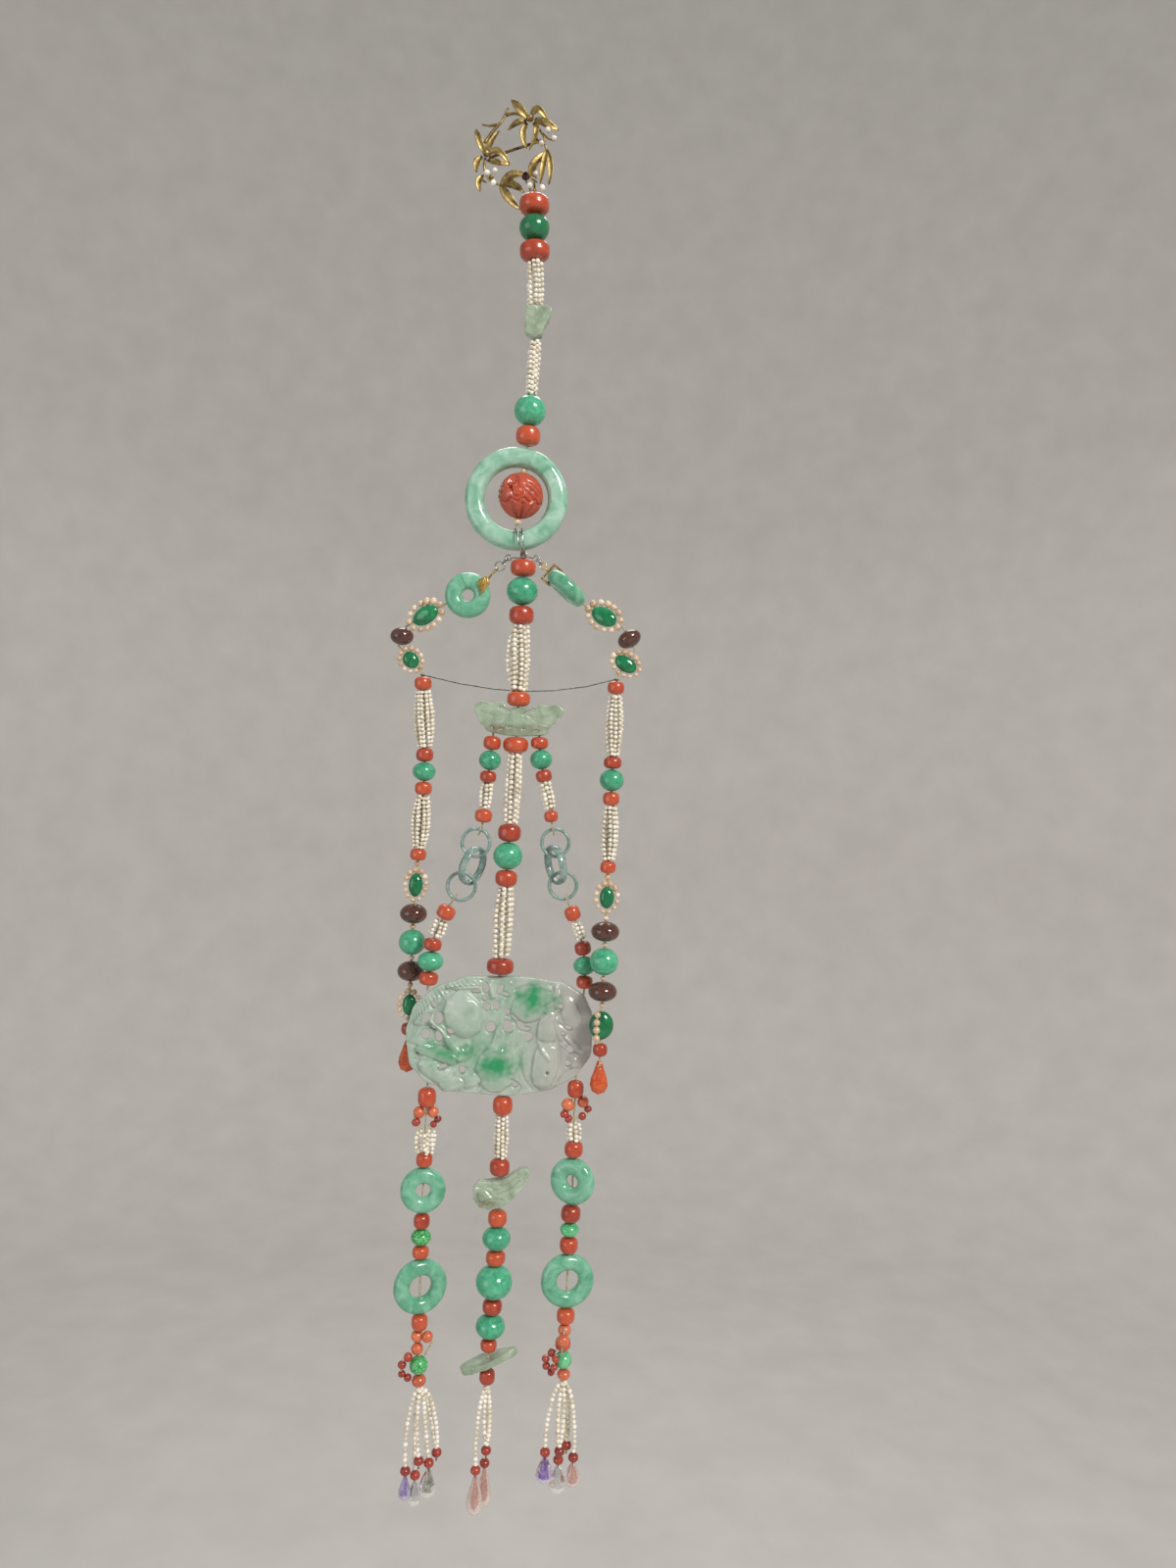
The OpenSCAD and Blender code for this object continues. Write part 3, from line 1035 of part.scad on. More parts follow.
brooch_wreath();
brooch_pearls();
brooch_garnet();
brooch_pin();
neck_coral();
neck_jade();
neck_pearls();
neck_leaf();
jade_ring();
coral_ball();
accent_pearls();
ring_bails();
shoulder_links();
shoulder_bails();
spreader_wire();
centre_coral();
centre_jade();
centre_pearls();
butterfly();
left_donut();
right_donut();
left_emeralds();
right_emeralds();
left_pearl_rings();
right_pearl_rings();
left_smoky();
right_smoky();
left_coral();
right_coral();
left_arm_jade();
right_arm_jade();
left_arm_pearls();
right_arm_pearls();
left_drop();
right_drop();
inner_left_coral();
inner_right_coral();
inner_left_jade();
inner_right_jade();
inner_left_pearls();
inner_right_pearls();
left_chain();
right_chain();
plaque();
lower_left_coral();
lower_right_coral();
lower_left_jade();
lower_right_jade();
lower_left_donuts();
lower_right_donuts();
lower_left_tassel();
lower_right_tassel();
lower_middle_tassel();
lower_pearls();
lower_drops();
lower_middle_coral();
lower_middle_jade();
bird();
thin_leaf();
threads();
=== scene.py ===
"""Looks of a long chatelaine of carved jade, coral and seed pearls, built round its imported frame.

Every piece takes its place and size from the solids of the frame. Metres throughout, front towards -Y.
"""

import math
import random

import bpy
import numpy as np
from mathutils import Matrix, Vector, noise


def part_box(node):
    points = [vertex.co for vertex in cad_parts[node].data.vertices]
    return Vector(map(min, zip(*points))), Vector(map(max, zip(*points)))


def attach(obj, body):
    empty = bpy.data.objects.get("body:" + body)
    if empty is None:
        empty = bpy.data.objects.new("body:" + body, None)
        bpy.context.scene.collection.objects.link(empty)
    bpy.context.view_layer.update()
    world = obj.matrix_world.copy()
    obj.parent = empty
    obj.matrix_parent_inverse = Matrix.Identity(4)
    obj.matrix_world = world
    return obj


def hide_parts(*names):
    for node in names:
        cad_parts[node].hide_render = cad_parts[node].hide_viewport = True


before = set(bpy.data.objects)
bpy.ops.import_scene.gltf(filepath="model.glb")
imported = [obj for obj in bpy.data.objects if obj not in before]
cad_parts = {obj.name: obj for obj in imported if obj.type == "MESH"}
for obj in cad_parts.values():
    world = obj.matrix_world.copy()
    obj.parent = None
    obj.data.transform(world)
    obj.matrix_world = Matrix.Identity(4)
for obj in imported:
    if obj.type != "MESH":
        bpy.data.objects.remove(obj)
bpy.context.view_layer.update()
MM = 0.001
# How far the photograph is turned
ROLL = math.radians(2.5)


# Camera, stage and lights


def linked(name, data):
    thing = bpy.data.objects.new(name, data)
    bpy.context.collection.objects.link(thing)
    return thing


def make_camera():
    """The photograph's view: a short lens close to the middle of the hanging piece, slightly rolled."""
    data = bpy.data.cameras.new("camera")
    data.lens, data.sensor_width = 26, 36
    camera = linked("camera", data)
    right = Vector((math.cos(ROLL), 0, math.sin(ROLL)))
    up = Vector((-math.sin(ROLL), 0, math.cos(ROLL)))
    rotation = Matrix((right, up, right.cross(up))).transposed()
    camera.matrix_world = Matrix.Translation((0.0361, -0.404, -0.225)) @ rotation.to_4x4()
    bpy.context.scene.camera = camera


def make_stage(floor_z=-1.0, reach=2.1, fillet=0.6, top_z=1.8, steps=72):
    """A round seamless backdrop: floor, fillet and wall."""
    corner = [
        (reach - fillet + fillet * math.sin(t), floor_z + fillet - fillet * math.cos(t))
        for t in np.linspace(0, math.pi / 2, 12)
    ]
    profile = [(reach, top_z), *corner[::-1], (reach - fillet - 0.3, floor_z), (0.01, floor_z)]
    verts, faces = turned(profile, steps, closed=False)
    mesh = bpy.data.meshes.new("stage")
    mesh.from_pydata(verts.tolist(), [], faces[:-2])
    mesh.shade_smooth()
    mesh.materials.append(wall_paint())
    linked("stage", mesh)


def area_light(name, place, size, energy, colour):
    """A round light that shines on the middle of the piece."""
    data = bpy.data.lights.new(name, "AREA")
    data.shape, data.size, data.energy, data.color = "DISK", size, energy, colour
    light = linked(name, data)
    light.location = place
    light.rotation_mode = "QUATERNION"
    light.rotation_quaternion = (Vector((0.02, 0, -0.25)) - Vector(place)).to_track_quat("-Z", "Y")


def make_lights():
    area_light("key", (0.95, -1.2, 0.75), 0.6, 27, (1.0, 0.97, 0.93))
    area_light("fill", (-1.3, -1.1, -0.2), 1.2, 6, (0.93, 0.96, 1.0))
    area_light("top", (0.0, 0.9, 1.1), 1.0, 10, (1.0, 1.0, 1.0))
    world = bpy.data.worlds.new("world")
    world.use_nodes = True
    back = world.node_tree.nodes["Background"]
    back.inputs["Color"].default_value = (0.88, 0.88, 0.89, 1)
    back.inputs["Strength"].default_value = 0.4
    bpy.context.scene.world = world
    bpy.context.scene.view_settings.view_transform = "Standard"


# Materials


def linear(code):
    """A colour such as "B8432F" in the renderer's linear values."""
    values = [int(code[i : i + 2], 16) / 255 for i in (0, 2, 4)]
    return [v / 12.92 if v <= 0.04045 else ((v + 0.055) / 1.055) ** 2.4 for v in values] + [1]


class Paint:
    """A procedural material: a Principled shader whose colour, roughness and bump come from noises."""

    def __init__(self, name, roughness=0.3, **sockets):
        self.material = bpy.data.materials.new(name)
        self.material.use_nodes = True
        self.tree = self.material.node_tree
        self.shader = self.tree.nodes["Principled BSDF"]
        self.place = self.tree.nodes.new("ShaderNodeTexCoord").outputs["Object"]
        self.set(self.shader, Roughness=roughness, **sockets)
        self.height = None

    def set(self, node, **sockets):
        for key, value in sockets.items():
            node.inputs[key.replace("_", " ")].default_value = value

    def add(self, kind, links=(), **settings):
        node = self.tree.nodes.new(kind)
        for key, value in settings.items():
            if hasattr(node, key):
                setattr(node, key, value)
            else:
                self.set(node, **{key: value})
        for socket, output in links:
            self.tree.links.new(node.inputs[socket], output)
        return node

    def link(self, output, socket):
        self.tree.links.new(self.shader.inputs[socket], output)

    def math(self, operation, first, second):
        node = self.add("ShaderNodeMath", operation=operation)
        for i, value in enumerate((first, second)):
            if isinstance(value, (int, float)):
                node.inputs[i].default_value = value
            else:
                self.tree.links.new(node.inputs[i], value)
        return node.outputs[0]

    def stretched(self, scale):
        """Texture space stretched by a scale on each axis."""
        return self.add("ShaderNodeMapping", [("Vector", self.place)], Scale=scale).outputs[0]

    def noise(self, size, detail=4, twist=0.0, place=None, rough=0.5):
        """Noise whose features are about size millimetres."""
        return self.add(
            "ShaderNodeTexNoise",
            [("Vector", place or self.place)],
            Scale=1 / (size * MM),
            Detail=detail,
            Distortion=twist,
            Roughness=rough,
        ).outputs["Fac"]

    def per_piece(self):
        """A number from 0 to 1 that differs from bead to bead."""
        return self.add("ShaderNodeNewGeometry").outputs["Random Per Island"]

    def ramp(self, value, *stops):
        """Maps a number to colours, given as (position, colour code) stops."""
        node = self.add("ShaderNodeValToRGB", [("Fac", value)])
        elements = node.color_ramp.elements
        while len(elements) < len(stops):
            elements.new(0.5)
        for element, (position, code) in zip(elements, stops):
            element.position, element.color = position, linear(code)
        return node.outputs["Color"]

    def spread(self, value, low, high, to_low=0.0, to_high=1.0):
        node = self.add("ShaderNodeMapRange", [("Value", value)])
        for key, number in zip(("From Min", "From Max", "To Min", "To Max"), (low, high, to_low, to_high)):
            node.inputs[key].default_value = number
        return node.outputs[0]

    def mix(self, share, first, second):
        node = self.add("ShaderNodeMix", data_type="RGBA")
        for i, value in ((0, share), (6, first), (7, second)):
            if isinstance(value, str):
                node.inputs[i].default_value = linear(value)
            elif isinstance(value, (int, float)):
                node.inputs[i].default_value = value
            else:
                self.tree.links.new(node.inputs[i], value)
        return node.outputs[2]

    def vary_roughness(self, size, low, high):
        self.link(self.spread(self.noise(size), 0.3, 0.7, low, high), "Roughness")

    def bump(self, value, depth):
        """Raises the surface by depth millimetres where value is 1."""
        links = [("Height", value)]
        if self.height:
            links.append(("Normal", self.height))
        node = self.add("ShaderNodeBump", links, Strength=1.0, Distance=depth * MM)
        self.height = node.outputs["Normal"]
        self.link(self.height, "Normal")


def wall_paint():
    paint = Paint("backdrop_paint", roughness=0.9, Specular_IOR_Level=0.2)
    grain = paint.noise(60, detail=3)
    paint.link(paint.ramp(grain, (0.3, "CDCAC6"), (0.7, "D4D1CD")), "Base Color")
    return paint.material


def coral_paint(name, light, middle, dark, pitted=0.04, wavy=0.05):
    """Polished coral, with pits and waves of so many millimetres."""
    paint = Paint(
        name,
        Coat_Weight=0.5,
        Coat_Roughness=0.12,
        Subsurface_Weight=0.12,
        Subsurface_Radius=(1.0, 0.25, 0.12),
        Subsurface_Scale=0.0012,
    )
    cloud = paint.noise(3.2, detail=3, twist=0.6)
    shade = paint.math("ADD", paint.spread(cloud, 0.3, 0.7, 0, 0.35), paint.spread(paint.per_piece(), 0, 1, 0, 0.7))
    base = paint.ramp(shade, (0.1, dark), (0.5, middle), (0.95, light))
    pits = paint.spread(paint.noise(0.45, detail=2), 0.68, 0.8)
    paint.link(paint.mix(pits, base, "7A2018"), "Base Color")
    paint.vary_roughness(1.1, 0.18, 0.38)
    paint.bump(paint.noise(1.8, detail=3), wavy)
    paint.bump(pits, -pitted)
    return paint.material


def stone_paint(name, stops, cloud=3.5, twist=1.2, roughness=(0.12, 0.3), spots=None, patch=None, fade=None,
                subsurface=0.25, per_bead=0.35, **sockets):
    """Polished stone with clouds of colour, which differ from bead to bead by the share per_bead.

    Spots is the colour of small flecks. The patch colour lies where the attribute of that name is 1. A fade
    is the start and end, in millimetres along X, of a change to another colour.
    """
    paint = Paint(
        name,
        Coat_Weight=0.35,
        Coat_Roughness=0.08,
        Subsurface_Weight=subsurface,
        Subsurface_Radius=(0.5, 1.0, 0.7),
        Subsurface_Scale=0.0015,
        **sockets,
    )
    clouds = paint.noise(cloud, detail=6, twist=twist)
    shade = paint.math(
        "ADD",
        paint.spread(clouds, 0.25, 0.75, 0, 1 - per_bead),
        paint.spread(paint.per_piece(), 0, 1, 0, per_bead),
    )
    base = paint.ramp(shade, *stops)
    if spots:
        grains = paint.spread(paint.noise(0.9, detail=4, rough=0.7), 0.58, 0.72, 0, 0.8)
        base = paint.mix(grains, base, spots)
    if fade:
        across = paint.add("ShaderNodeSeparateXYZ", [("Vector", paint.place)]).outputs["X"]
        base = paint.mix(paint.spread(across, fade[0] * MM, fade[1] * MM, 0, 0.85), base, fade[2])
    if patch:
        strength = paint.add("ShaderNodeAttribute", attribute_name="patch").outputs["Fac"]
        base = paint.mix(strength, base, patch)
    paint.link(base, "Base Color")
    paint.vary_roughness(1.6, *roughness)
    paint.bump(paint.noise(2.6, detail=4), 0.12)
    return paint.material


def pearl_paint(name, stops, lustre):
    paint = Paint(
        name,
        Coat_Weight=lustre,
        Coat_Roughness=0.15,
        Sheen_Weight=0.25,
        Sheen_Roughness=0.35,
        Subsurface_Weight=0.1,
        Subsurface_Radius=(1.0, 0.8, 0.6),
        Subsurface_Scale=0.0006,
    )
    shade = paint.math(
        "ADD",
        paint.spread(paint.per_piece(), 0, 1, 0, 0.75),
        paint.spread(paint.noise(0.8, detail=3), 0.3, 0.7, 0, 0.25),
    )
    paint.link(paint.ramp(shade, *stops), "Base Color")
    paint.vary_roughness(0.5, 0.2, 0.42)
    paint.bump(paint.noise(0.7, detail=2), 0.05)
    return paint.material


def metal_paint(name, bright, dark, roughness=(0.18, 0.42), tarnish="3A2A18"):
    paint = Paint(name, Metallic=1.0)
    wear = paint.noise(2.2, detail=5, twist=0.8)
    base = paint.ramp(wear, (0.3, dark), (0.62, bright))
    grime = paint.spread(paint.noise(0.9, detail=4), 0.58, 0.75, 0, 0.5)
    paint.link(paint.mix(grime, base, tarnish), "Base Color")
    paint.vary_roughness(1.2, *roughness)
    paint.bump(paint.noise(0.6, detail=3), 0.04)
    return paint.material


def glass_paint(name, tint, deep, clear, cloudy=(0.05, 0.22)):
    """A translucent drop: tinted glass with cloudy flaws inside."""
    paint = Paint(name, Transmission_Weight=clear, IOR=1.55, Coat_Weight=0.3, Coat_Roughness=0.03)
    flaws = paint.noise(2.4, detail=5, twist=2.0)
    paint.link(paint.ramp(flaws, (0.35, deep), (0.62, tint)), "Base Color")
    paint.link(paint.spread(paint.noise(3.0, detail=3), 0.4, 0.7, *cloudy), "Roughness")
    paint.bump(paint.noise(3.5, detail=2), 0.15)
    return paint.material


def silk_paint():
    paint = Paint("silk", roughness=0.75, Sheen_Weight=0.4, Sheen_Roughness=0.4)
    strands = paint.noise(0.35, detail=3, place=paint.stretched((1, 1, 0.25)))
    paint.link(paint.ramp(strands, (0.35, "8E8468"), (0.65, "C9BF9E")), "Base Color")
    paint.bump(strands, 0.06)
    return paint.material


# Shapes


class Seat:
    """Where one solid of the frame sits: its centre, its own axes and its half sizes along them.

    The third axis is the one that the solid is turned about ("round", or "bead" where that is the steepest
    one of a solid that is nearly even), or its longest ("long").
    """

    def __init__(self, points, how):
        middle = points.mean(0)
        values, vectors = np.linalg.eigh(np.cov((points - middle).T))
        if how == "long":
            along, depth = vectors[:, 2], vectors[:, 0]
        else:
            odd = 0 if values[1] - values[0] > values[2] - values[1] else 2
            along = vectors[:, odd]
            if abs(values[2] - values[0]) < 0.1 * values[2]:
                along = np.array([0.0, 0.0, 1.0])
            elif how == "bead" and abs(along[2]) < 0.6:
                along = vectors[:, np.abs(vectors[2]).argmax()]
            depth = np.array([0.0, 1.0, 0.0]) if abs(along[1]) < 0.8 else np.array([1.0, 0.0, 0.0])
        along = along * (1 if along[2] > 0 or abs(along[1]) > 0.8 else -1)
        depth = depth - along * depth.dot(along)
        depth /= np.linalg.norm(depth)
        if depth[1] < 0:
            depth = -depth
        self.axes = np.array([np.cross(depth, along), depth, along])
        local = points @ self.axes.T
        self.centre = (local.max(0) + local.min(0)) / 2 @ self.axes
        self.half = (local.max(0) - local.min(0)) / 2
        self.opening = np.linalg.norm((local - self.centre @ self.axes.T)[:, :2], axis=1).min()

    def put(self, local):
        """Local points, in metres, moved to their place in the frame."""
        return np.asarray(local) @ self.axes + self.centre


def rows_of(items, key):
    """One vector of each of a mesh's items, as rows."""
    rows = np.empty(len(items) * 3)
    items.foreach_get(key, rows)
    return rows.reshape(-1, 3)


def solids(node, how="round"):
    """The seats of a node's separate solids, from the top down."""
    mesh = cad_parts[node].data
    points = rows_of(mesh.vertices, "co")
    first = {}
    parent = [first.setdefault(tuple(np.round(p, 6)), i) for i, p in enumerate(points)]

    def root(i):
        while parent[i] != i:
            parent[i] = parent[parent[i]]
            i = parent[i]
        return i

    for polygon in mesh.polygons:
        a = root(polygon.vertices[0])
        for b in polygon.vertices[1:]:
            parent[root(b)] = a
    groups = {}
    for i in range(len(points)):
        groups.setdefault(root(i), []).append(i)
    seats = [Seat(points[group], how) for group in groups.values()]
    return sorted(seats, key=lambda seat: -seat.centre[2])


class Shape:
    """Collects the parts of one piece into one mesh."""

    def __init__(self):
        self.verts, self.faces, self.kinds, self.count = [], [], [], 0

    def add(self, verts, faces, kind=0):
        self.verts.append(np.asarray(verts))
        self.faces += [tuple(i + self.count for i in face) for face in faces]
        self.kinds += [kind] * len(faces)
        self.count += len(verts)

    def build(self, name, materials, replaces=(), smooth=True):
        mesh = bpy.data.meshes.new(name)
        mesh.from_pydata(np.concatenate(self.verts).tolist(), [], self.faces)
        for material in materials:
            mesh.materials.append(material)
        mesh.polygons.foreach_set("material_index", self.kinds)
        if smooth:
            mesh.shade_smooth()
        seated(linked(name, mesh), replaces)


def seated(piece, replaces):
    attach(piece, "root")
    if replaces:
        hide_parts(*replaces)


def turned(profile, steps, closed=True):
    """Turns a profile of (radius, height) points about the third axis. An open one ends in two caps."""
    n = len(profile)
    verts = [
        (r * math.cos(a), r * math.sin(a), z)
        for a in np.linspace(0, 2 * math.pi, steps, endpoint=False)
        for r, z in profile
    ]
    faces = []
    for i in range(steps):
        j = (i + 1) % steps
        for k in range(n if closed else n - 1):
            m = (k + 1) % n
            faces.append((i * n + k, j * n + k, j * n + m, i * n + m))
    if not closed:
        faces.append(tuple(i * n for i in range(steps))[::-1])
        faces.append(tuple(i * n + n - 1 for i in range(steps)))
    return np.array(verts), faces


def uneven(points, share, size, seed):
    """Hand-cut unevenness: moves points in and out by a share of their distance from the centre."""
    shift = Vector((seed * 3.7, seed * 1.3, seed * 2.1))
    scale = [1 + share * noise.noise(Vector(p) / size + shift) for p in points]
    return points * np.array(scale)[:, None]


def signed_power(value, power):
    return math.copysign(abs(value) ** power, value)


def bead(shape, seat, seed, fullness, kind, steps, rows, share=0.02, bore=0.5 * MM):
    """A drilled bead. Fullness 2 is round, and more is a barrel."""
    width, length = (seat.half[0] + seat.half[1]) / 2, seat.half[2]
    power = 2 / fullness
    reach = math.acos((bore / width) ** (fullness / 2))
    profile = [
        (width * math.cos(t) ** power, length * signed_power(math.sin(t), power))
        for t in np.linspace(-reach, reach, rows)
    ]
    verts, faces = turned(profile, steps)
    shape.add(seat.put(uneven(verts, share, width * 0.9, seed)), faces, kind)


def pearl(shape, centre, size, rng, steps=10, rows=6, along=None):
    """A small drilled pearl, a little off round, lying at any turn."""
    turn = rng.random() * math.pi
    verts = [(0, 0, 1)]
    for k in range(1, rows):
        t = math.pi * k / rows
        verts += [
            (math.sin(t) * math.cos(a + turn), math.sin(t) * math.sin(a + turn), math.cos(t))
            for a in np.linspace(0, 2 * math.pi, steps, endpoint=False)
        ]
    verts.append((0, 0, -1))
    faces = [(0, 1 + k, 1 + (k + 1) % steps) for k in range(steps)]
    for row in range(rows - 2):
        a, b = 1 + row * steps, 1 + (row + 1) * steps
        faces += [(a + k, b + k, b + (k + 1) % steps, a + (k + 1) % steps) for k in range(steps)]
    last, a = len(verts) - 1, 1 + (rows - 2) * steps
    faces += [(last, a + (k + 1) % steps, a + k) for k in range(steps)]
    stretch = np.array([1, 1, rng.uniform(0.82, 1.0)]) * size / 2 * rng.uniform(0.92, 1.06)
    points = np.array(verts) * stretch
    if along is not None:
        points = points @ np.array(Vector(along).to_track_quat("Z", "Y").to_matrix()).T
    shape.add(points + np.asarray(centre), faces)


def string_of_pearls(shape, path, size, rng):
    """Seed pearls set close along a path of points, which is walked at the pearls' own pitch."""
    path = [np.asarray(p) for p in path]
    lengths = [np.linalg.norm(b - a) for a, b in zip(path, path[1:])]
    total = sum(lengths)
    count = max(1, round(total / size))
    phase = rng.uniform(0.2, 0.8)
    for i in range(count):
        travel = (i + phase) * total / count
        k = 0
        while k < len(lengths) - 1 and travel > lengths[k]:
            travel -= lengths[k]
            k += 1
        along = (path[k + 1] - path[k]) / lengths[k]
        jitter = np.array([rng.uniform(-1, 1) for _ in range(3)]) * size * 0.04
        pearl(shape, path[k] + along * travel + jitter, size * rng.uniform(0.88, 1.02), rng, along=along)


def bundle(shape, seat, size, strings, rng, ends, loose, twist=0.3):
    """Strings of seed pearls round the axis of a bundle, its ends a share as wide as its middle.

    A wide bundle has half as many strings again inside. The first string may hang loose on the left.
    """
    width, length = (seat.half[0] + seat.half[1]) / 2 - size / 2, seat.half[2]
    start = rng.random() * 2 * math.pi
    inner = strings // 2 if width > 1.6 * size else 0
    for s in range(strings + inner):
        angle = start + 2 * math.pi * (s + rng.uniform(-0.18, 0.18)) / (strings if s < strings else inner)
        sway = rng.uniform(-0.25, 0.25)
        path = []
        for t in np.linspace(0, 1, 9):
            bulge = math.sin(math.pi * t)
            a = angle + twist * (t - 0.5) + sway * bulge
            r = width * (ends + (1 - ends) * bulge) * rng.uniform(0.95, 1.0) * (1 if s < strings else 0.5)
            if loose and s == 0:
                a, r = math.pi, r + loose * bulge
            path.append(seat.put([r * math.cos(a), r * math.sin(a), length * (1 - 2 * t)]))
        string_of_pearls(shape, path, size, rng)


def pearl_oval(shape, seat, rng, thick=1.2, inset=0.42, pitch=0.98, middle=0.88, swell=0.14):
    """Pearls set close round an oval stone: larger along its upper side, smaller along the lower one.

    The largest pearls are somewhat thicker than the ring of the frame that they stand for.
    """
    size = 2 * seat.half[1] * thick
    a, b = seat.half[0] - inset * size, seat.half[2] - inset * size
    fine = [(a * math.cos(t), 0, b * math.sin(t)) for t in np.linspace(0, 2 * math.pi, 145)]
    steps = [math.dist(p, q) for p, q in zip(fine, fine[1:])]
    total, count = sum(steps), round(sum(steps) / (size * pitch))
    walked, k = 0.0, 0
    for i in range(count):
        while walked + steps[k] < (i + 0.5) * total / count:
            walked += steps[k]
            k += 1
        centre = seat.put(fine[k])
        upper = (centre[2] - seat.centre[2]) / seat.half[2]
        pearl(shape, centre, size * (middle + swell * upper), rng, steps=16, rows=10)


def tube(shape, path, radii, kind=0, sides=8):
    """A round wire through a path of points, with a radius at each."""
    path = [Vector(p) for p in path]
    verts, faces = [], []
    for i, p in enumerate(path):
        along = (path[min(i + 1, len(path) - 1)] - path[max(i - 1, 0)]).normalized()
        side = along.cross(Vector((0, 1, 0.01))).normalized()
        other = side.cross(along)
        for a in np.linspace(0, 2 * math.pi, sides, endpoint=False):
            verts.append(p + radii[i] * (math.cos(a) * side + math.sin(a) * other))
    for i in range(len(path) - 1):
        for k in range(sides):
            m = (k + 1) % sides
            faces.append((i * sides + k, i * sides + m, (i + 1) * sides + m, (i + 1) * sides + k))
    faces.append(tuple(range(sides))[::-1])
    faces.append(tuple((len(path) - 1) * sides + k for k in range(sides)))
    shape.add([tuple(v) for v in verts], faces, kind)


def curve_through(points, steps=6):
    """A smooth path through a few points."""
    points = [Vector(p) for p in points]
    ends = [2 * points[0] - points[1], *points, 2 * points[-1] - points[-2]]
    path = []
    for a, b, c, d in zip(ends, ends[1:], ends[2:], ends[3:]):
        for t in np.linspace(0, 1, steps, endpoint=False):
            path.append(
                0.5 * (2 * b + (c - a) * t + (2 * a - 5 * b + 4 * c - d) * t**2 + (3 * b - a - 3 * c + d) * t**3)
            )
    return [*path, points[-1]]


def carved(node, voxel, smooth):
    """A node's solid as a fine even mesh whose edges are worn soft, with its points and normals to carve."""
    piece = linked(node + "_carving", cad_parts[node].data.copy())
    weld = piece.modifiers.new("weld", "WELD")
    weld.merge_threshold = 0.00001
    remesh = piece.modifiers.new("remesh", "REMESH")
    remesh.mode, remesh.voxel_size = "VOXEL", voxel * MM
    soften = piece.modifiers.new("smooth", "SMOOTH")
    soften.factor, soften.iterations = 0.5, smooth
    graph = bpy.context.evaluated_depsgraph_get()
    mesh = bpy.data.meshes.new_from_object(piece.evaluated_get(graph))
    piece.modifiers.clear()
    piece.data = mesh
    mesh.materials.clear()
    mesh.shade_smooth()
    return piece, rows_of(mesh.vertices, "co"), rows_of(mesh.vertex_normals, "vector")


def line_distance(points, line):
    """Distance of points in the XZ plane from a line of points, in millimetres."""
    flat = points[:, [0, 2]] / MM
    nearest = np.full(len(flat), 1e9)
    for a, b in zip(line, line[1:]):
        a, b = np.array(a[:2]), np.array(b[:2])
        along = b - a
        t = np.clip((flat - a) @ along / (along @ along), 0, 1)
        nearest = np.minimum(nearest, np.linalg.norm(flat - a - t[:, None] * along, axis=1))
    return nearest


def groove(points, normals, line, width, depth):
    """Cuts a soft groove into the front along a line in the XZ plane, in millimetres. A negative depth raises it."""
    share = np.exp(-((line_distance(points, line) / width) ** 2))
    share *= np.clip(-normals[:, 1] * 1.6, 0, 1)
    return points - normals * (share * depth * MM)[:, None]


def smooth_line(points, steps=6):
    """A smooth line in the XZ plane through a few points, in millimetres."""
    return [(p.x, p.y) for p in curve_through([(x, z, 0) for x, z in points], steps)]


def roughened(points, normals, size, depth, seed=0):
    """Worn unevenness over a carving."""
    shift = Vector((seed, seed * 2.0, seed * 3.0))
    lift = [noise.fractal(Vector(p) / (size * MM) + shift, 1.0, 2.0, 3) for p in points]
    return points + normals * (np.array(lift) * depth * MM)[:, None]


def finish_carving(piece, points, material, node, patches=()):
    """Writes the carved points back. Patches of another colour fade out along a wandering edge.

    A patch is its X, Z, half width and half height, all in millimetres, and its strength.
    """
    mesh = piece.data
    mesh.vertices.foreach_set("co", points.ravel())
    flat = points[:, [0, 2]] / MM
    wander = np.array([
        0.5 * noise.noise(Vector(p) / (4 * MM)) + 0.3 * noise.noise(Vector(p) / (1.7 * MM)) for p in points
    ])
    tint = np.zeros(len(points))
    for x, z, wide, high, strength in patches:
        reach = np.hypot((flat[:, 0] - x) / wide, (flat[:, 1] - z) / high) + wander
        tint = np.maximum(tint, strength * np.clip(1.35 - reach, 0, 1.2) ** 1.4 / 1.3)
    mesh.attributes.new("patch", "FLOAT", "POINT").data.foreach_set("value", tint.astype(np.float32))
    mesh.materials.append(material)
    mesh.update()
    seated(piece, [node])


# The piece, from the top down


def coral_beads(node):
    """Barrels of coral. The smaller beads of the lower strands are rounder, and salmon or dark."""
    shape = Shape()
    mixed = node.startswith("lower")
    for i, seat in enumerate(solids(node, "bead")):
        width = 2 * seat.half[0]
        kind = 0 if not mixed or width > SALMON_SIZE else 1 if width > DARK_CORAL_SIZE else 2
        seat.half *= CORAL_GROWTH[kind]
        bead(shape, seat, i, 2.2 if kind else 3.0, kind, steps=24 if kind else 36, rows=18)
    shape.build(node + "_beads", [CORAL, SALMON, DARK_CORAL], [node])


def stone_beads(node, materials, pick=lambda i: 0):
    """Nearly round beads. Pick gives the place in the materials of the bead with that number."""
    shape = Shape()
    for i, seat in enumerate(solids(node, "bead")):
        bead(shape, seat, i + 5, 2.05, pick(i), steps=36, rows=22)
    shape.build(node + "_beads", materials, [node])


def seed_bundles(node, size, strings, seed, ends, loose=0.0):
    """The bundles of a node. In the first one, a string hangs loose by that much."""
    rng = random.Random(seed)
    shape = Shape()
    for i, seat in enumerate(solids(node)):
        bundle(shape, seat, size, strings, rng, ends, 0.0 if i else loose)
    shape.build(node + "_strings", [PEARL], [node])


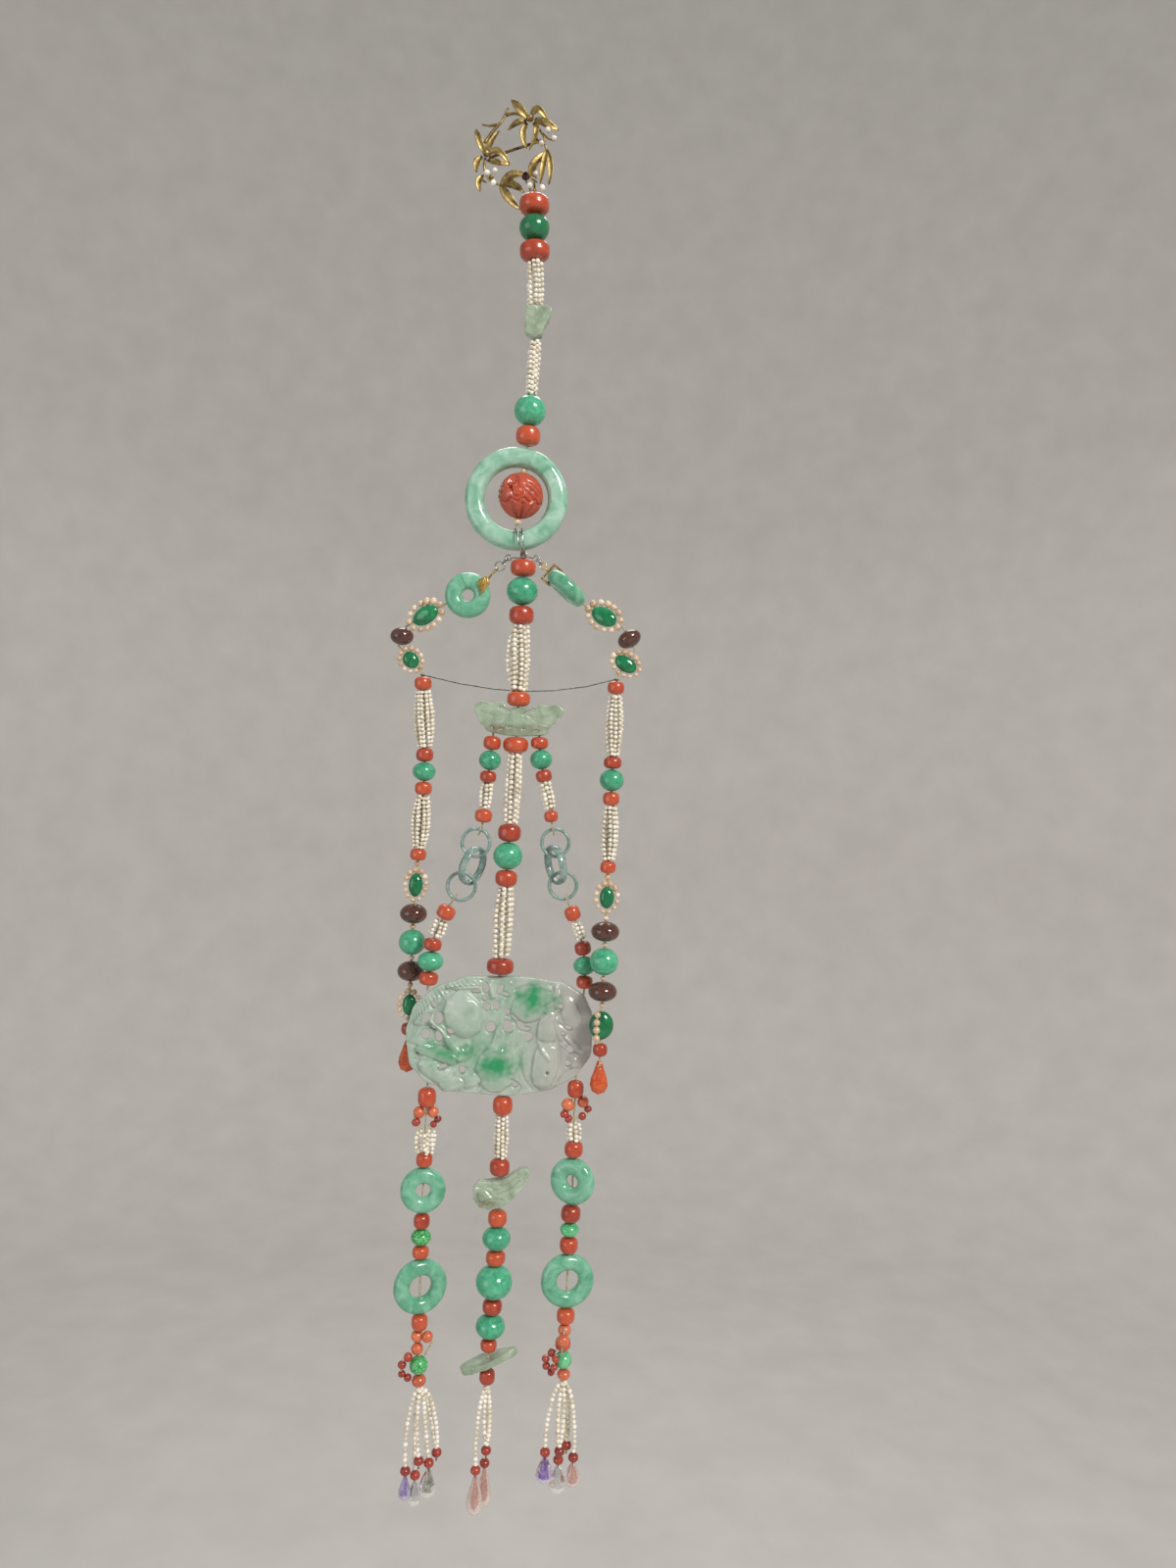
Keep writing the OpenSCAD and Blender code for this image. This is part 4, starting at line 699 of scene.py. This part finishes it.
def hoops(node, material, section=0.85, steps=84, rows=22):
    """Rings or donuts with a rounded square section."""
    shape = Shape()
    for i, seat in enumerate(solids(node)):
        outer, inner = (seat.half[0] + seat.half[1]) / 2, seat.opening
        middle, half = (outer + inner) / 2, (outer - inner) / 2
        profile = [
            (middle + half * signed_power(math.cos(t), section), seat.half[2] * signed_power(math.sin(t), section))
            for t in np.linspace(0, 2 * math.pi, rows, endpoint=False)
        ]
        verts, faces = turned(profile, steps)
        shape.add(seat.put(uneven(verts, 0.01, outer * 0.5, i + 2)), faces)
    shape.build(node + "_stone", [material], [node])


def on_photo(x, y, depth):
    """The point of the frame at pixel x, y of the photograph, with its depth given in millimetres."""
    across, down = (x - PIN_PIXEL[0]) * PIXEL, (y - PIN_PIXEL[1]) * PIXEL
    return Vector((
        across * math.cos(ROLL) + down * math.sin(ROLL),
        depth,
        across * math.sin(ROLL) - down * math.cos(ROLL),
    )) * MM


def blade(shape, start, bend, tip, half_width, lift, depth=-2.6, fold=0.45, thick=0.4, rows=14, across=8):
    """A gold leaf: pointed at both ends, folded along its rib and lifted forward in the middle."""
    a, b, c = (on_photo(*p, depth) for p in (start, bend, tip))
    path = [a * (1 - t) ** 2 + (b * 2 - (a + c) / 2) * (2 * t * (1 - t)) + c * t**2 for t in np.linspace(0, 1, rows)]
    verts = []
    for side in (-1, 1):
        for i, p in enumerate(path):
            t = i / (rows - 1)
            along = (path[min(i + 1, rows - 1)] - path[max(i - 1, 0)]).normalized()
            out = along.cross(Vector((0, 1, 0))).normalized()
            # Widest nearer its foot
            half = half_width * MM * (math.sin(math.pi * min(t * 0.9 + 0.06, 1)) ** 0.75 * (1.1 - 0.35 * t) + 0.03)
            rise = -lift * MM * math.sin(math.pi * t)
            for u in np.linspace(-1, 1, across):
                body = thick * MM * (0.5 + 0.25 * (1 - abs(u))) * side
                ripple = 0.06 * half * math.cos(3 * math.pi * u)
                y = rise + body - fold * half * (u * u) + ripple
                verts.append(p + out * (half * u) + Vector((0, y, 0)))
    back, faces = rows * across, []
    for a in range(0, back - across, across):
        for k in range(a, a + across - 1):
            faces.append((k, k + 1, k + across + 1, k + across))
            faces.append((back + k, back + k + across, back + k + across + 1, back + k + 1))
        b = a + across - 1
        faces.append((a, a + across, back + a + across, back + a))
        faces.append((back + b, back + b + across, b + across, b))
    for k in range(across - 1):
        faces.append((k, back + k, back + k + 1, k + 1))
    for k in range(back - across, back - 1):
        faces.append((k + 1, back + k + 1, back + k, k))
    shape.add([tuple(v) for v in verts], faces)


def brooch():
    """The gold wreath: two flowers, leaves and twigs, with pearls and a garnet on pins."""
    shape = Shape()
    for leaf in BLADES:
        blade(shape, *leaf)
    for path, thick in TWIGS:
        line = curve_through([on_photo(*p, -2.5) for p in path], 5)
        radii = [thick * MM * (1 - 0.35 * i / len(line)) for i in range(len(line))]
        tube(shape, line, radii, sides=10)
    rng = random.Random(3)
    for x, y, size, depth in GOLD_BEADS:
        pearl(shape, on_photo(x, y, depth), size * MM, rng, steps=16, rows=12)
    # The pins that hold the pearls and the garnet
    for seat in solids("brooch_pearls") + solids("brooch_garnet"):
        x, y, z = seat.centre
        tube(shape, [Vector((x, -2.4 * MM, z)), Vector((x, y, z))], [0.3 * MM] * 2)
    # The loop that the neck strand hangs from
    x, z, wire, neck = 7.8 * MM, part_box("neck_coral")[1].z + 1.6 * MM, 0.28 * MM, 0.4 * MM
    loop = [Vector((x, math.cos(t) * MM, z + math.sin(t) * MM)) for t in np.linspace(0, 2 * math.pi, 25)]
    tube(shape, loop, [wire] * len(loop))
    tube(shape, [Vector((x, -2.5 * MM, z + 1.7 * MM)), Vector((x, 0, z + MM))], [neck] * 2)
    # The lugs that the pin lies behind
    for x, z in ((-8.6, -3.2), (8.0, 3.0)):
        tube(shape, [Vector((x, -2.6, z)) * MM, Vector((x, -0.8, z)) * MM], [0.5 * MM, 0.4 * MM])
    shape.build("brooch_wreath_gold", [GOLD], ["brooch_wreath"])


def bails():
    """The gold bails of the shoulder donuts, worn round, and the ribbed leaf in front of the left one."""
    carve("shoulder_bails", "gold", BAIL_GOLD, 0.16, 12, (4, 0.03), 14)
    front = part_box("left_donut")[0].y / MM - 0.55
    shape = Shape()
    for bend, tip, half in BAIL_LEAF:
        blade(shape, BAIL_LEAF_TOP, bend, tip, half, 0.35, front, 0.3, 0.35)
    shape.build("left_bail_leaf", [BAIL_GOLD])


def gems(node, steps=40, rows=14, dome=0.75, girdle=1.15, pole=0.02):
    """Smooth oval stones, domed in front and behind and thin at their girdle."""
    profile = [
        (signed_power(math.cos(t), dome), signed_power(math.sin(t), girdle))
        for t in np.linspace(-math.pi / 2 + pole, math.pi / 2 - pole, rows)
    ]
    verts, faces = turned(profile, steps, closed=False)
    shape = Shape()
    for i, seat in enumerate(solids(node, "long")):
        shape.add(seat.put(uneven(verts[:, [0, 2, 1]], 0.03, 0.8, i) * seat.half), faces)
    shape.build(node + "_stones", [EMERALD], [node])


def pearl_ovals(node, seed):
    """The pearls round the oval stones, and the short rod of pearls on the right arm."""
    rng = random.Random(seed)
    shape = Shape()
    for seat in solids(node, "long"):
        if seat.half[0] < 1.3 * seat.half[1]:
            ends = [seat.put((0, 0, z * seat.half[2])) for z in (1, -1)]
            string_of_pearls(shape, ends, 2 * seat.half[1] * 0.97, rng)
        else:
            pearl_oval(shape, seat, rng)
    shape.build(node + "_pearls", [ACCENT], [node])


def single_pearls(node, seed, material):
    rng = random.Random(seed)
    shape = Shape()
    for seat in solids(node):
        pearl(shape, seat.centre, 2 * seat.half[0], rng, steps=20, rows=12)
    shape.build(node + "_round", [material], [node])


def tassel(strand, seed, doubled):
    """Strings of seed pearls from one knot to small corals, and the pins below those.

    The first corals, as many as doubled says, end two strings each, and the others one.
    """
    pitch, coral_size, shortest, knot, pin = 1.75 * MM, 3.4 * MM, 12 * MM, 1.2 * MM, 1.52 * MM
    rng = random.Random(seed)
    shape = Shape()
    points = rows_of(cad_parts[strand + "_tassel"].data.vertices, "co")
    head = Vector(points[points[:, 2] > points[:, 2].max() - knot].mean(0))
    foot = points[:, 2].min()
    ends = [
        seat for seat in solids(strand + "_coral")
        if seat.half[2] * 2 < coral_size and foot < seat.centre[2] < head.z - shortest
    ]
    for i, seat in enumerate(ends):
        end = Vector(seat.put((0, 0, seat.half[2])))
        for side in (-1, 1) if i < doubled else (rng.choice((-1, 1)),):
            bow = rng.uniform(0.7, 1.1) * side
            path = []
            for t in np.linspace(0, 1, 12):
                p = head.lerp(end, t)
                share = t**0.45
                p.x = head.x + (end.x - head.x) * share + bow * MM * math.sin(math.pi * t) ** 0.7
                p.y = head.y + (end.y - head.y) * share - 0.4 * side * MM * math.sin(math.pi * t)
                path.append(p)
            string_of_pearls(shape, path, pitch, rng)
        below = Vector(seat.put((0, 0, -seat.half[2])))
        tube(shape, [below + Vector((0, 0, 0.4 * MM)), below - Vector((0, 0, pin))], [0.3 * MM] * 2, 1)
    shape.build(strand + "_tassel_strings", [PEARL, GOLD], [strand + "_tassel"])


def stone_drops():
    """The quartz drops, from left to right: faceted or smooth, each of its own stone."""
    seats = sorted(solids("lower_drops", "long"), key=lambda seat: seat.centre[0])
    for i, (seat, (material, steps)) in enumerate(zip(seats, DROPS)):
        shape = Shape()
        verts, faces = turned(DROP_PROFILE, steps, closed=False)
        shape.add(seat.put(verts * seat.half), faces)
        shape.build(f"lower_drop_{i + 1}", [material], ["lower_drops"], steps == SMOOTH)


def carve(node, slot, material, voxel, smooth, rough, seed, veins=(), depth=0.0, stains=(), relief=None):
    """Wears a node's solid soft, cuts veins into it, and roughens it by a size and depth.

    Relief is the share that is kept of what stands out from a plate as deep in front as behind.
    """
    piece, points, normals = carved(node, voxel, smooth)
    if relief:
        face = -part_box(node)[1].y
        points[:, 1] = np.where(points[:, 1] < face, face + relief * (points[:, 1] - face), points[:, 1])
    for line in veins:
        points = groove(points, normals, smooth_line(line), 0.4, depth)
    finish_carving(piece, roughened(points, normals, *rough, seed), material, node, stains)


def carve_plaque():
    """The pierced plaque: fruit, gourds and leaves in low relief, with green patches."""
    piece, points, normals = carved("plaque", 0.31, 3)
    for line in PLAQUE_VEINS:
        points = groove(points, normals, smooth_line(line), 0.42, 0.5)
    for line in PLAQUE_RIBS:
        points = groove(points, normals, smooth_line(line), 0.7, -0.55)
    notch = 2.6
    for k, (x, z) in enumerate(smooth_line(PLAQUE_RIM, 5)):
        lean = 0.4 + 0.05 * k
        inner = (x + notch * math.cos(lean), z - notch * math.sin(lean))
        points = groove(points, normals, [(x, z), inner], 0.28, 0.45)
    points = roughened(points, normals, 6, 0.16)
    finish_carving(piece, points, PLAQUE_JADE, "plaque", PLAQUE_GREEN)


def carve_ball():
    """The carved coral ball: a fan of ribs between roundels on each third, over a skirt of petals.

    Bearings are in radians, and heights and radii are shares of the ball's radius.
    """
    piece, points, normals = carved("coral_ball", 0.16, 2)
    low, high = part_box("coral_ball")
    local = (points - (np.array(low) + np.array(high)) / 2) / ((high[0] - low[0]) / 2)
    turn, height = np.arctan2(local[:, 0], -local[:, 1]), local[:, 2]

    def line(distance, depth, width=0.05):
        return depth * np.exp(-((distance / width) ** 2))

    def inside(distance, reach):
        return np.clip(1 - np.abs(distance) / reach, 0, 1)

    # The skirt: petals below a wavy line
    skirt, wave, phase = -0.38, 0.07, turn * BALL_PETALS / 2 + 0.4
    cut = np.clip(-height - 0.36, 0, 0.4) * 3.2 * np.abs(np.sin(phase)) ** 4
    cut += line(height - skirt + wave * np.cos(2 * phase), 0.9)
    for side in range(3):
        bearing = (turn - 2 * math.pi * side / 3 + math.pi) % (2 * math.pi) - math.pi
        # The fan: slanting ribs that fade out round its middle
        fan = inside(bearing - 0.75, 0.62) * inside(height - 0.1, 0.5)
        slant = bearing * 0.75 + height * 1.2
        cut += np.abs(np.sin(slant * 9)) ** 3 * 0.95 * np.clip(fan * 3, 0, 1)
        for across, up, radius, depth in BALL_ROUNDELS:
            cut += line(np.hypot(bearing - across, height - up) - radius, depth)
    deepest = 0.75 * MM
    points = points - normals * (np.clip(cut, 0, 1.1) * deepest)[:, None]
    points = roughened(points, normals, 3.0, 0.08, 5)
    finish_carving(piece, points, CARVED_CORAL, "coral_ball")


make_camera()
make_stage()
make_lights()

CORAL = coral_paint("coral", "CA5A30", "B64426", "8C2C1C")
SALMON = coral_paint("salmon_coral", "DC7A52", "CE6642", "AC5034")
DARK_CORAL = coral_paint("dark_coral", "B24430", "9A3226", "74241A")
PEARL = pearl_paint("seed_pearl", [(0.0, "B9AC90"), (0.25, "DDD4BE"), (0.7, "F6F0E2")], 0.8)
WHITE_PEARL = pearl_paint("white_pearl", [(0.0, "CFC2AE"), (0.5, "EAE2D4"), (1.0, "F8F4EC")], 0.9)
ACCENT = pearl_paint("accent_pearl", [(0.0, "B4926C"), (0.5, "D8BA98"), (1.0, "ECDAC4")], 1.0)
TURQUOISE_JADE = stone_paint(
    "turquoise_jade", [(0.0, "27805C"), (0.35, "44A37D"), (0.7, "5DBB93"), (1.0, "9AD8BA")], cloud=2.6
)
MOTTLED_JADE = stone_paint(
    "mottled_jade", [(0.05, "12401F"), (0.35, "2E8A44"), (0.6, "5CC078"), (0.9, "A4DCA8")], cloud=1.6, twist=3.0,
    spots="123E1E", per_bead=0.1
)
LIGHT_JADE = stone_paint("light_jade", [(0.0, "3C9464"), (0.5, "66C188"), (1.0, "9ADAAE")], cloud=2.4)
DARK_JADE = stone_paint("dark_jade", [(0.0, "0E5A38"), (0.5, "1F7A4F"), (1.0, "2E9060")])
RING_JADE = stone_paint("ring_jade", [(0.0, "569C7C"), (0.3, "80B49A"), (0.6, "98C4AE"), (1.0, "BAD6C8")], cloud=7,
                         per_bead=0.1)
DONUT_JADE = stone_paint("donut_jade", [(0.0, "3A8A66"), (0.35, "60A686"), (0.7, "80BCA0"), (1.0, "AAD2BE")], cloud=7,
                         per_bead=0.15, subsurface=0.35)
PALE_JADE = stone_paint(
    "pale_jade", [(0.0, "587A6E"), (0.35, "86A29A"), (0.7, "A6BAB4"), (1.0, "C6D4CE")], cloud=3.2, per_bead=0.15,
    subsurface=0.45, Transmission_Weight=0.25
)
EMERALD = stone_paint("emerald", [(0.0, "06482A"), (0.5, "0C7C4A"), (1.0, "2CA46A")], roughness=(0.06, 0.18))
SMOKY = glass_paint("smoky", "6A4236", "482A22", clear=0.25, cloudy=(0.05, 0.15))
CARNELIAN = glass_paint("carnelian", "F0743A", "D84E1C", clear=0.4)
GOLD = metal_paint("gold", "B09A62", "66533A", roughness=(0.36, 0.56))
BAIL_GOLD = metal_paint("bail_gold", "DDBE74", "A07C40", roughness=(0.22, 0.4))
PIN_METAL = metal_paint("pin_metal", "86704A", "463622", roughness=(0.4, 0.6))
SILVER = metal_paint("silver", "C9C8C4", "6E6C6A", tarnish="26241F")
GARNET = glass_paint("garnet", "4E1A28", "220A12", clear=0.4)
SILK = silk_paint()
WIRE = metal_paint("wire", "6E6B68", "35322F", tarnish="26241F")
ROSE = glass_paint("rose_quartz", "E2BCB0", "BE968C", clear=0.6)
CLEAR = glass_paint("clear_quartz", "F4F4F2", "C9CCCC", clear=0.92, cloudy=(0.0, 0.08))
SMOKE_CLEAR = glass_paint("smoky_quartz", "D4D2C8", "7E7C74", clear=0.9, cloudy=(0.0, 0.1))
LAVENDER = glass_paint("lavender_quartz", "A796C8", "6E5E9C", clear=0.45)
AMETHYST = glass_paint("amethyst", "B9A0E0", "5E4690", clear=0.7, cloudy=(0.0, 0.1))
PLAQUE_JADE = stone_paint(
    "plaque_jade", [(0.0, "90A496"), (0.5, "A9BAAC"), (1.0, "BCC8BE")], cloud=9, per_bead=0.0, patch="2A9460",
    fade=(10, 34, "B0ACA8"), subsurface=0.35
)
BUTTERFLY_JADE = stone_paint(
    "butterfly_jade", [(0.0, "8C9C86"), (0.5, "A8BAA2"), (1.0, "C0D0BA")], cloud=6, per_bead=0.0, patch="7E6A48",
    subsurface=0.45, Transmission_Weight=0.2
)
CARVED_CORAL = coral_paint("carved_coral", "C4583C", "B84A32", "A03A2A", pitted=0.01, wavy=0.03)

# The brooch's pin in the photograph, and the width of a pixel there in millimetres
PIN_PIXEL = (525, 153)
PIXEL = 0.35
# Gold leaves and petals, as pixels of the photograph: start, middle and tip, then half width and lift
BLADES = [
    ((539, 126), (530, 117), (522.7, 107.4), 1.5, 0.8), ((542, 124), (550, 119.5), (559, 128.5), 1.3, 1.2),
    ((546, 127), (558, 133), (570, 137.5), 1.5, 0.9), ((538, 129), (529, 131.5), (519.2, 137.5), 1.1, 0.7),
    ((538.5, 131), (534.5, 143), (538, 156), 1.2, 0.9), ((544, 131), (548, 140), (540.6, 157.6), 1.0, 1.3),
    ((495, 161), (489.6, 148), (486.5, 137), 1.2, 0.8), ((498, 161), (503, 150), (510, 138.8), 1.0, 0.9),
    ((499, 162), (510, 161.5), (520.4, 172), 1.2, 1.0), ((498, 168), (509, 172.6), (520.8, 172.4), 1.1, 1.2),
    ((493, 164.5), (487.6, 172), (487, 180), 1.25, 0.4), ((493.5, 184), (489.6, 191), (490.7, 199.5), 1.2, 0.3),
    ((512, 193), (524, 184.5), (540, 183), 1.5, 0.6), ((512, 192.5), (523.5, 194), (535, 200.5), 1.6, 0.5),
    ((512, 193), (519.5, 208), (531.2, 217.5), 1.6, 1.0), ((540.2, 184), (547, 172), (557, 160), 1.5, 0.6),
    ((558.2, 158), (555, 174), (551.6, 191.5), 1.15, 0.9), ((558.6, 158), (562, 175), (560.3, 192.5), 1.0, 0.3),
]
# Gold twigs: the pixels that each passes, and its radius
TWIGS = [
    ([(495, 151), (503.7, 138.5), (513, 128), (519, 115.5)], 0.6), ([(509, 131.5), (501, 133), (492.8, 131.8)], 0.5),
    ([(517, 122.5), (524, 120.5), (533, 122.5), (540, 127)], 0.6), ([(495, 151), (496, 158), (497, 164)], 0.55),
    ([(545, 130), (553, 140), (556, 147), (553, 151.5), (547, 149.6), (541, 154)], 0.45),
    ([(553, 140), (560, 146), (566, 148)], 0.4),
    ([(496, 166), (495, 176), (499, 186), (506, 191.5), (514, 193.5)], 0.5),
    ([(536, 184), (541, 182), (546, 184)], 0.6), ([(541, 183), (545, 188), (549, 190)], 0.5),
    ([(497, 190), (493, 188), (494, 183)], 0.4), ([(556.5, 152), (558, 158)], 0.45),
]
# The leaf of the left bail: where its ribs start, and the middle, tip and half width of each
BAIL_LEAF_TOP = (496.8, 589.5)
BAIL_LEAF = [((495.4, 597), (491.6, 607.4), 0.9), ((493.2, 597), (489.4, 603), 0.7), ((497, 598), (494.6, 604), 0.7)]
# The gold beads among the leaves: their pixel, then their size and depth in millimetres
GOLD_BEADS = [(541.4, 127.9, 2.9, -4.2), (497.4, 163.6, 2.8, -4.2), (502.2, 186.6, 1.8, -3.6)]

# Round corals up to these widths are dark, and salmon
DARK_CORAL_SIZE, SALMON_SIZE = 3.4 * MM, 5.2 * MM
# How much larger than their solids barrels, salmon and dark corals are drawn
CORAL_GROWTH = (1, 1.05, 1.14)

# The drops' radius and height as shares of the half sizes, and the stone and the sides of each
DROP_PROFILE = [(0.10, 1.0), (0.2, 0.96), (0.42, 0.7), (0.68, 0.32), (0.9, -0.05), (1.0, -0.4), (0.9, -0.68),
                (0.62, -0.9), (0.3, -0.985), (0.04, -1.0)]
SMOOTH = 28
DROPS = [(LAVENDER, 10), (CLEAR, 10), (SMOKE_CLEAR, 12), (ROSE, SMOOTH), (ROSE, SMOOTH), (AMETHYST, 10), (CLEAR, 12),
         (ROSE, SMOOTH)]

# Lines of the carvings, as X and Z in millimetres
PLAQUE_RIM = [(3, -296), (-6, -297.2), (-13, -300), (-18.5, -304.5), (-22.4, -309.5), (-24.3, -315)]
PLAQUE_VEINS = [
    [(-12, -300.5), (-5, -298.8), (2, -298.4)], [(-22, -318), (-20, -314), (-16, -312.5)],
    [(-24, -319.6), (-19, -320.8), (-13, -320.2), (-9.4, -321)], [(-21, -325.4), (-14, -325.8), (-9, -327.4)],
    [(-3.2, -327.6), (0.6, -329), (2.4, -332), (1.4, -335.6)], [(-1.2, -318.2), (-1.2, -323.6), (-3.6, -326)],
    [(-10, -331.6), (-6.6, -330), (-3.4, -332), (-3.4, -335)], [(13.6, -331), (16.6, -333.6), (16.2, -336)],
    [(17.4, -318), (16.4, -324), (17.6, -330), (21, -334.6)], [(27.6, -310), (29.4, -317), (30.4, -326), (27.4, -333)],
    [(29.6, -306), (28.6, -309.6), (31.6, -312)], [(31.2, -315.6), (34, -318), (37.8, -319)],
    [(13.4, -299.4), (18, -297.6), (26, -299)], [(24, -304.8), (27.4, -302), (28.4, -298.4)],
    [(13, -308), (16.6, -310.8), (21, -310.4), (24.6, -307)], [(30, -331), (33, -327.4), (37, -326)],
]
PLAQUE_RIBS = [
    [(11.5, -297), (8.6, -301), (8.9, -305), (4.2, -306.5)],
    [(-16, -311.5), (-11, -316), (-8.4, -322.5), (-5.2, -324.6)],
    [(24.9, -306.5), (26.3, -302.6), (29.2, -299.4)], [(31, -316), (34, -318.5), (37.6, -320)],
    [(31.4, -318), (34, -321.5), (36, -323)], [(4, -322), (6.5, -320.5), (9.5, -320.8)],
    [(-5.2, -320.4), (-3.4, -318.6), (-1.8, -320), (-3, -322.2), (-5, -321.4)],
    [(22.6, -312.6), (22.4, -317), (24.4, -320.6), (26.4, -323)], [(14.8, -320.4), (15.6, -324.6), (13.8, -328)],
]
PLAQUE_GREEN = [(7.4, -325.6, 9.0, 7.4, 1.0), (20.2, -302.2, 10.2, 5.8, 1.0), (-16, -320.6, 7.5, 3.0, 0.65),
                (-8.5, -322.6, 8.0, 4.6, 0.8), (-1.2, -320.6, 6, 6, 0.7), (3, -318, 18, 10, 0.25)]
BUTTERFLY_VEINS = [
    [(9.6, -198.4), (5, -203), (-1, -205)], [(10.8, -198.4), (15.5, -203), (21, -205)],
    [(8, -201), (3, -202.4), (-3, -201)], [(12.4, -201), (17.5, -202.4), (24, -201)],
    [(1, -206), (5.5, -205.4), (10.1, -206.4), (15, -205.4), (20, -206)],
]
BUTTERFLY_STAINS = [(3, -206.6, 6, 2.0, 0.7), (16, -206.6, 6, 2.0, 0.6)]
BIRD_VEINS = [
    [(3.2, -369.6), (6.2, -370.4), (8.6, -372.4)], [(9, -369), (13, -368.6), (17, -366)],
    [(10, -372), (14, -370.6), (18, -367)], [(5, -375), (8.4, -373.6), (12, -374)],
]
BIRD_STAINS = [(6, -375, 4, 2, 0.5)]

# Rings cut round the coral ball: bearing, height, radius and depth
BALL_ROUNDELS = [(-0.35, 0.42, 0.27, 0.95), (-0.35, 0.42, 0.1, 0.8), (-0.1, -0.02, 0.24, 0.8)]
BALL_PETALS = 10

for strand in ("neck", "centre", "left", "right", "inner_left", "inner_right", "lower_left", "lower_right",
               "lower_middle"):
    coral_beads(strand + "_coral")
stone_beads("neck_jade", [TURQUOISE_JADE, DARK_JADE], lambda i: int(i == 0))
for strand in ("centre", "left_arm", "right_arm", "inner_left", "inner_right", "lower_middle"):
    stone_beads(strand + "_jade", [TURQUOISE_JADE])
stone_beads("lower_left_jade", [MOTTLED_JADE])
stone_beads("lower_right_jade", [LIGHT_JADE])
for node in ("left_smoky", "right_smoky"):
    stone_beads(node, [SMOKY])
# The size of the pearls of each strand's bundles, how many strings a bundle has, and how wide its ends are
for seed, (strand, size, strings, ends) in enumerate((
        ("neck", 1.7, 8, 0.8), ("centre", 1.75, 8, 0.8), ("left_arm", 1.55, 10, 0.62), ("right_arm", 1.55, 9, 0.62),
        ("inner_left", 1.65, 6, 0.8), ("inner_right", 1.65, 6, 0.8), ("lower", 1.6, 7, 0.8))):
    loose = 1.6 * MM if strand == "centre" else 0.0
    seed_bundles(strand + "_pearls", size * MM, strings, seed, ends, loose)
hoops("jade_ring", RING_JADE)
for node in ("left_donut", "right_donut", "lower_left_donuts", "lower_right_donuts"):
    hoops(node, DONUT_JADE)
for node in ("left_chain", "right_chain"):
    hoops(node, PALE_JADE)
# Nodes that keep their own shape
for node, material in (("brooch_pin", PIN_METAL), ("brooch_garnet", GARNET), ("ring_bails", SILVER),
                       ("shoulder_links", SILVER), ("spreader_wire", WIRE), ("threads", SILK)):
    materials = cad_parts[node].data.materials
    for i in range(len(materials)):
        materials[i] = material
brooch()
bails()
for side in ("left", "right"):
    gems(side + "_emeralds")
for seed, side in ((11, "left"), (12, "right")):
    pearl_ovals(side + "_pearl_rings", seed)
single_pearls("brooch_pearls", 13, WHITE_PEARL)
single_pearls("accent_pearls", 14, ACCENT)
for seed, (strand, doubled) in enumerate((("lower_left", 1), ("lower_middle", 1), ("lower_right", 2)), 21):
    tassel(strand, seed, doubled)
stone_drops()
for seed, node in ((9, "left_drop"), (10, "right_drop")):
    carve(node, "carnelian", CARNELIAN, 0.25, 8, (4, 0.1), seed)
carve_plaque()
for node, voxel, smooth, *details in (
        ("butterfly", 0.26, 5, (5, 0.08), 2, BUTTERFLY_VEINS, 0.2, BUTTERFLY_STAINS, 0.15),
        ("bird", 0.24, 5, (3, 0.3), 3, BIRD_VEINS, 0.4, BIRD_STAINS),
        ("neck_leaf", 0.24, 6, (4, 0.35), 9), ("thin_leaf", 0.22, 6, (4, 0.35), 9)):
    carve(node, "pale_jade", BUTTERFLY_JADE, voxel, smooth, *details)
carve_ball()
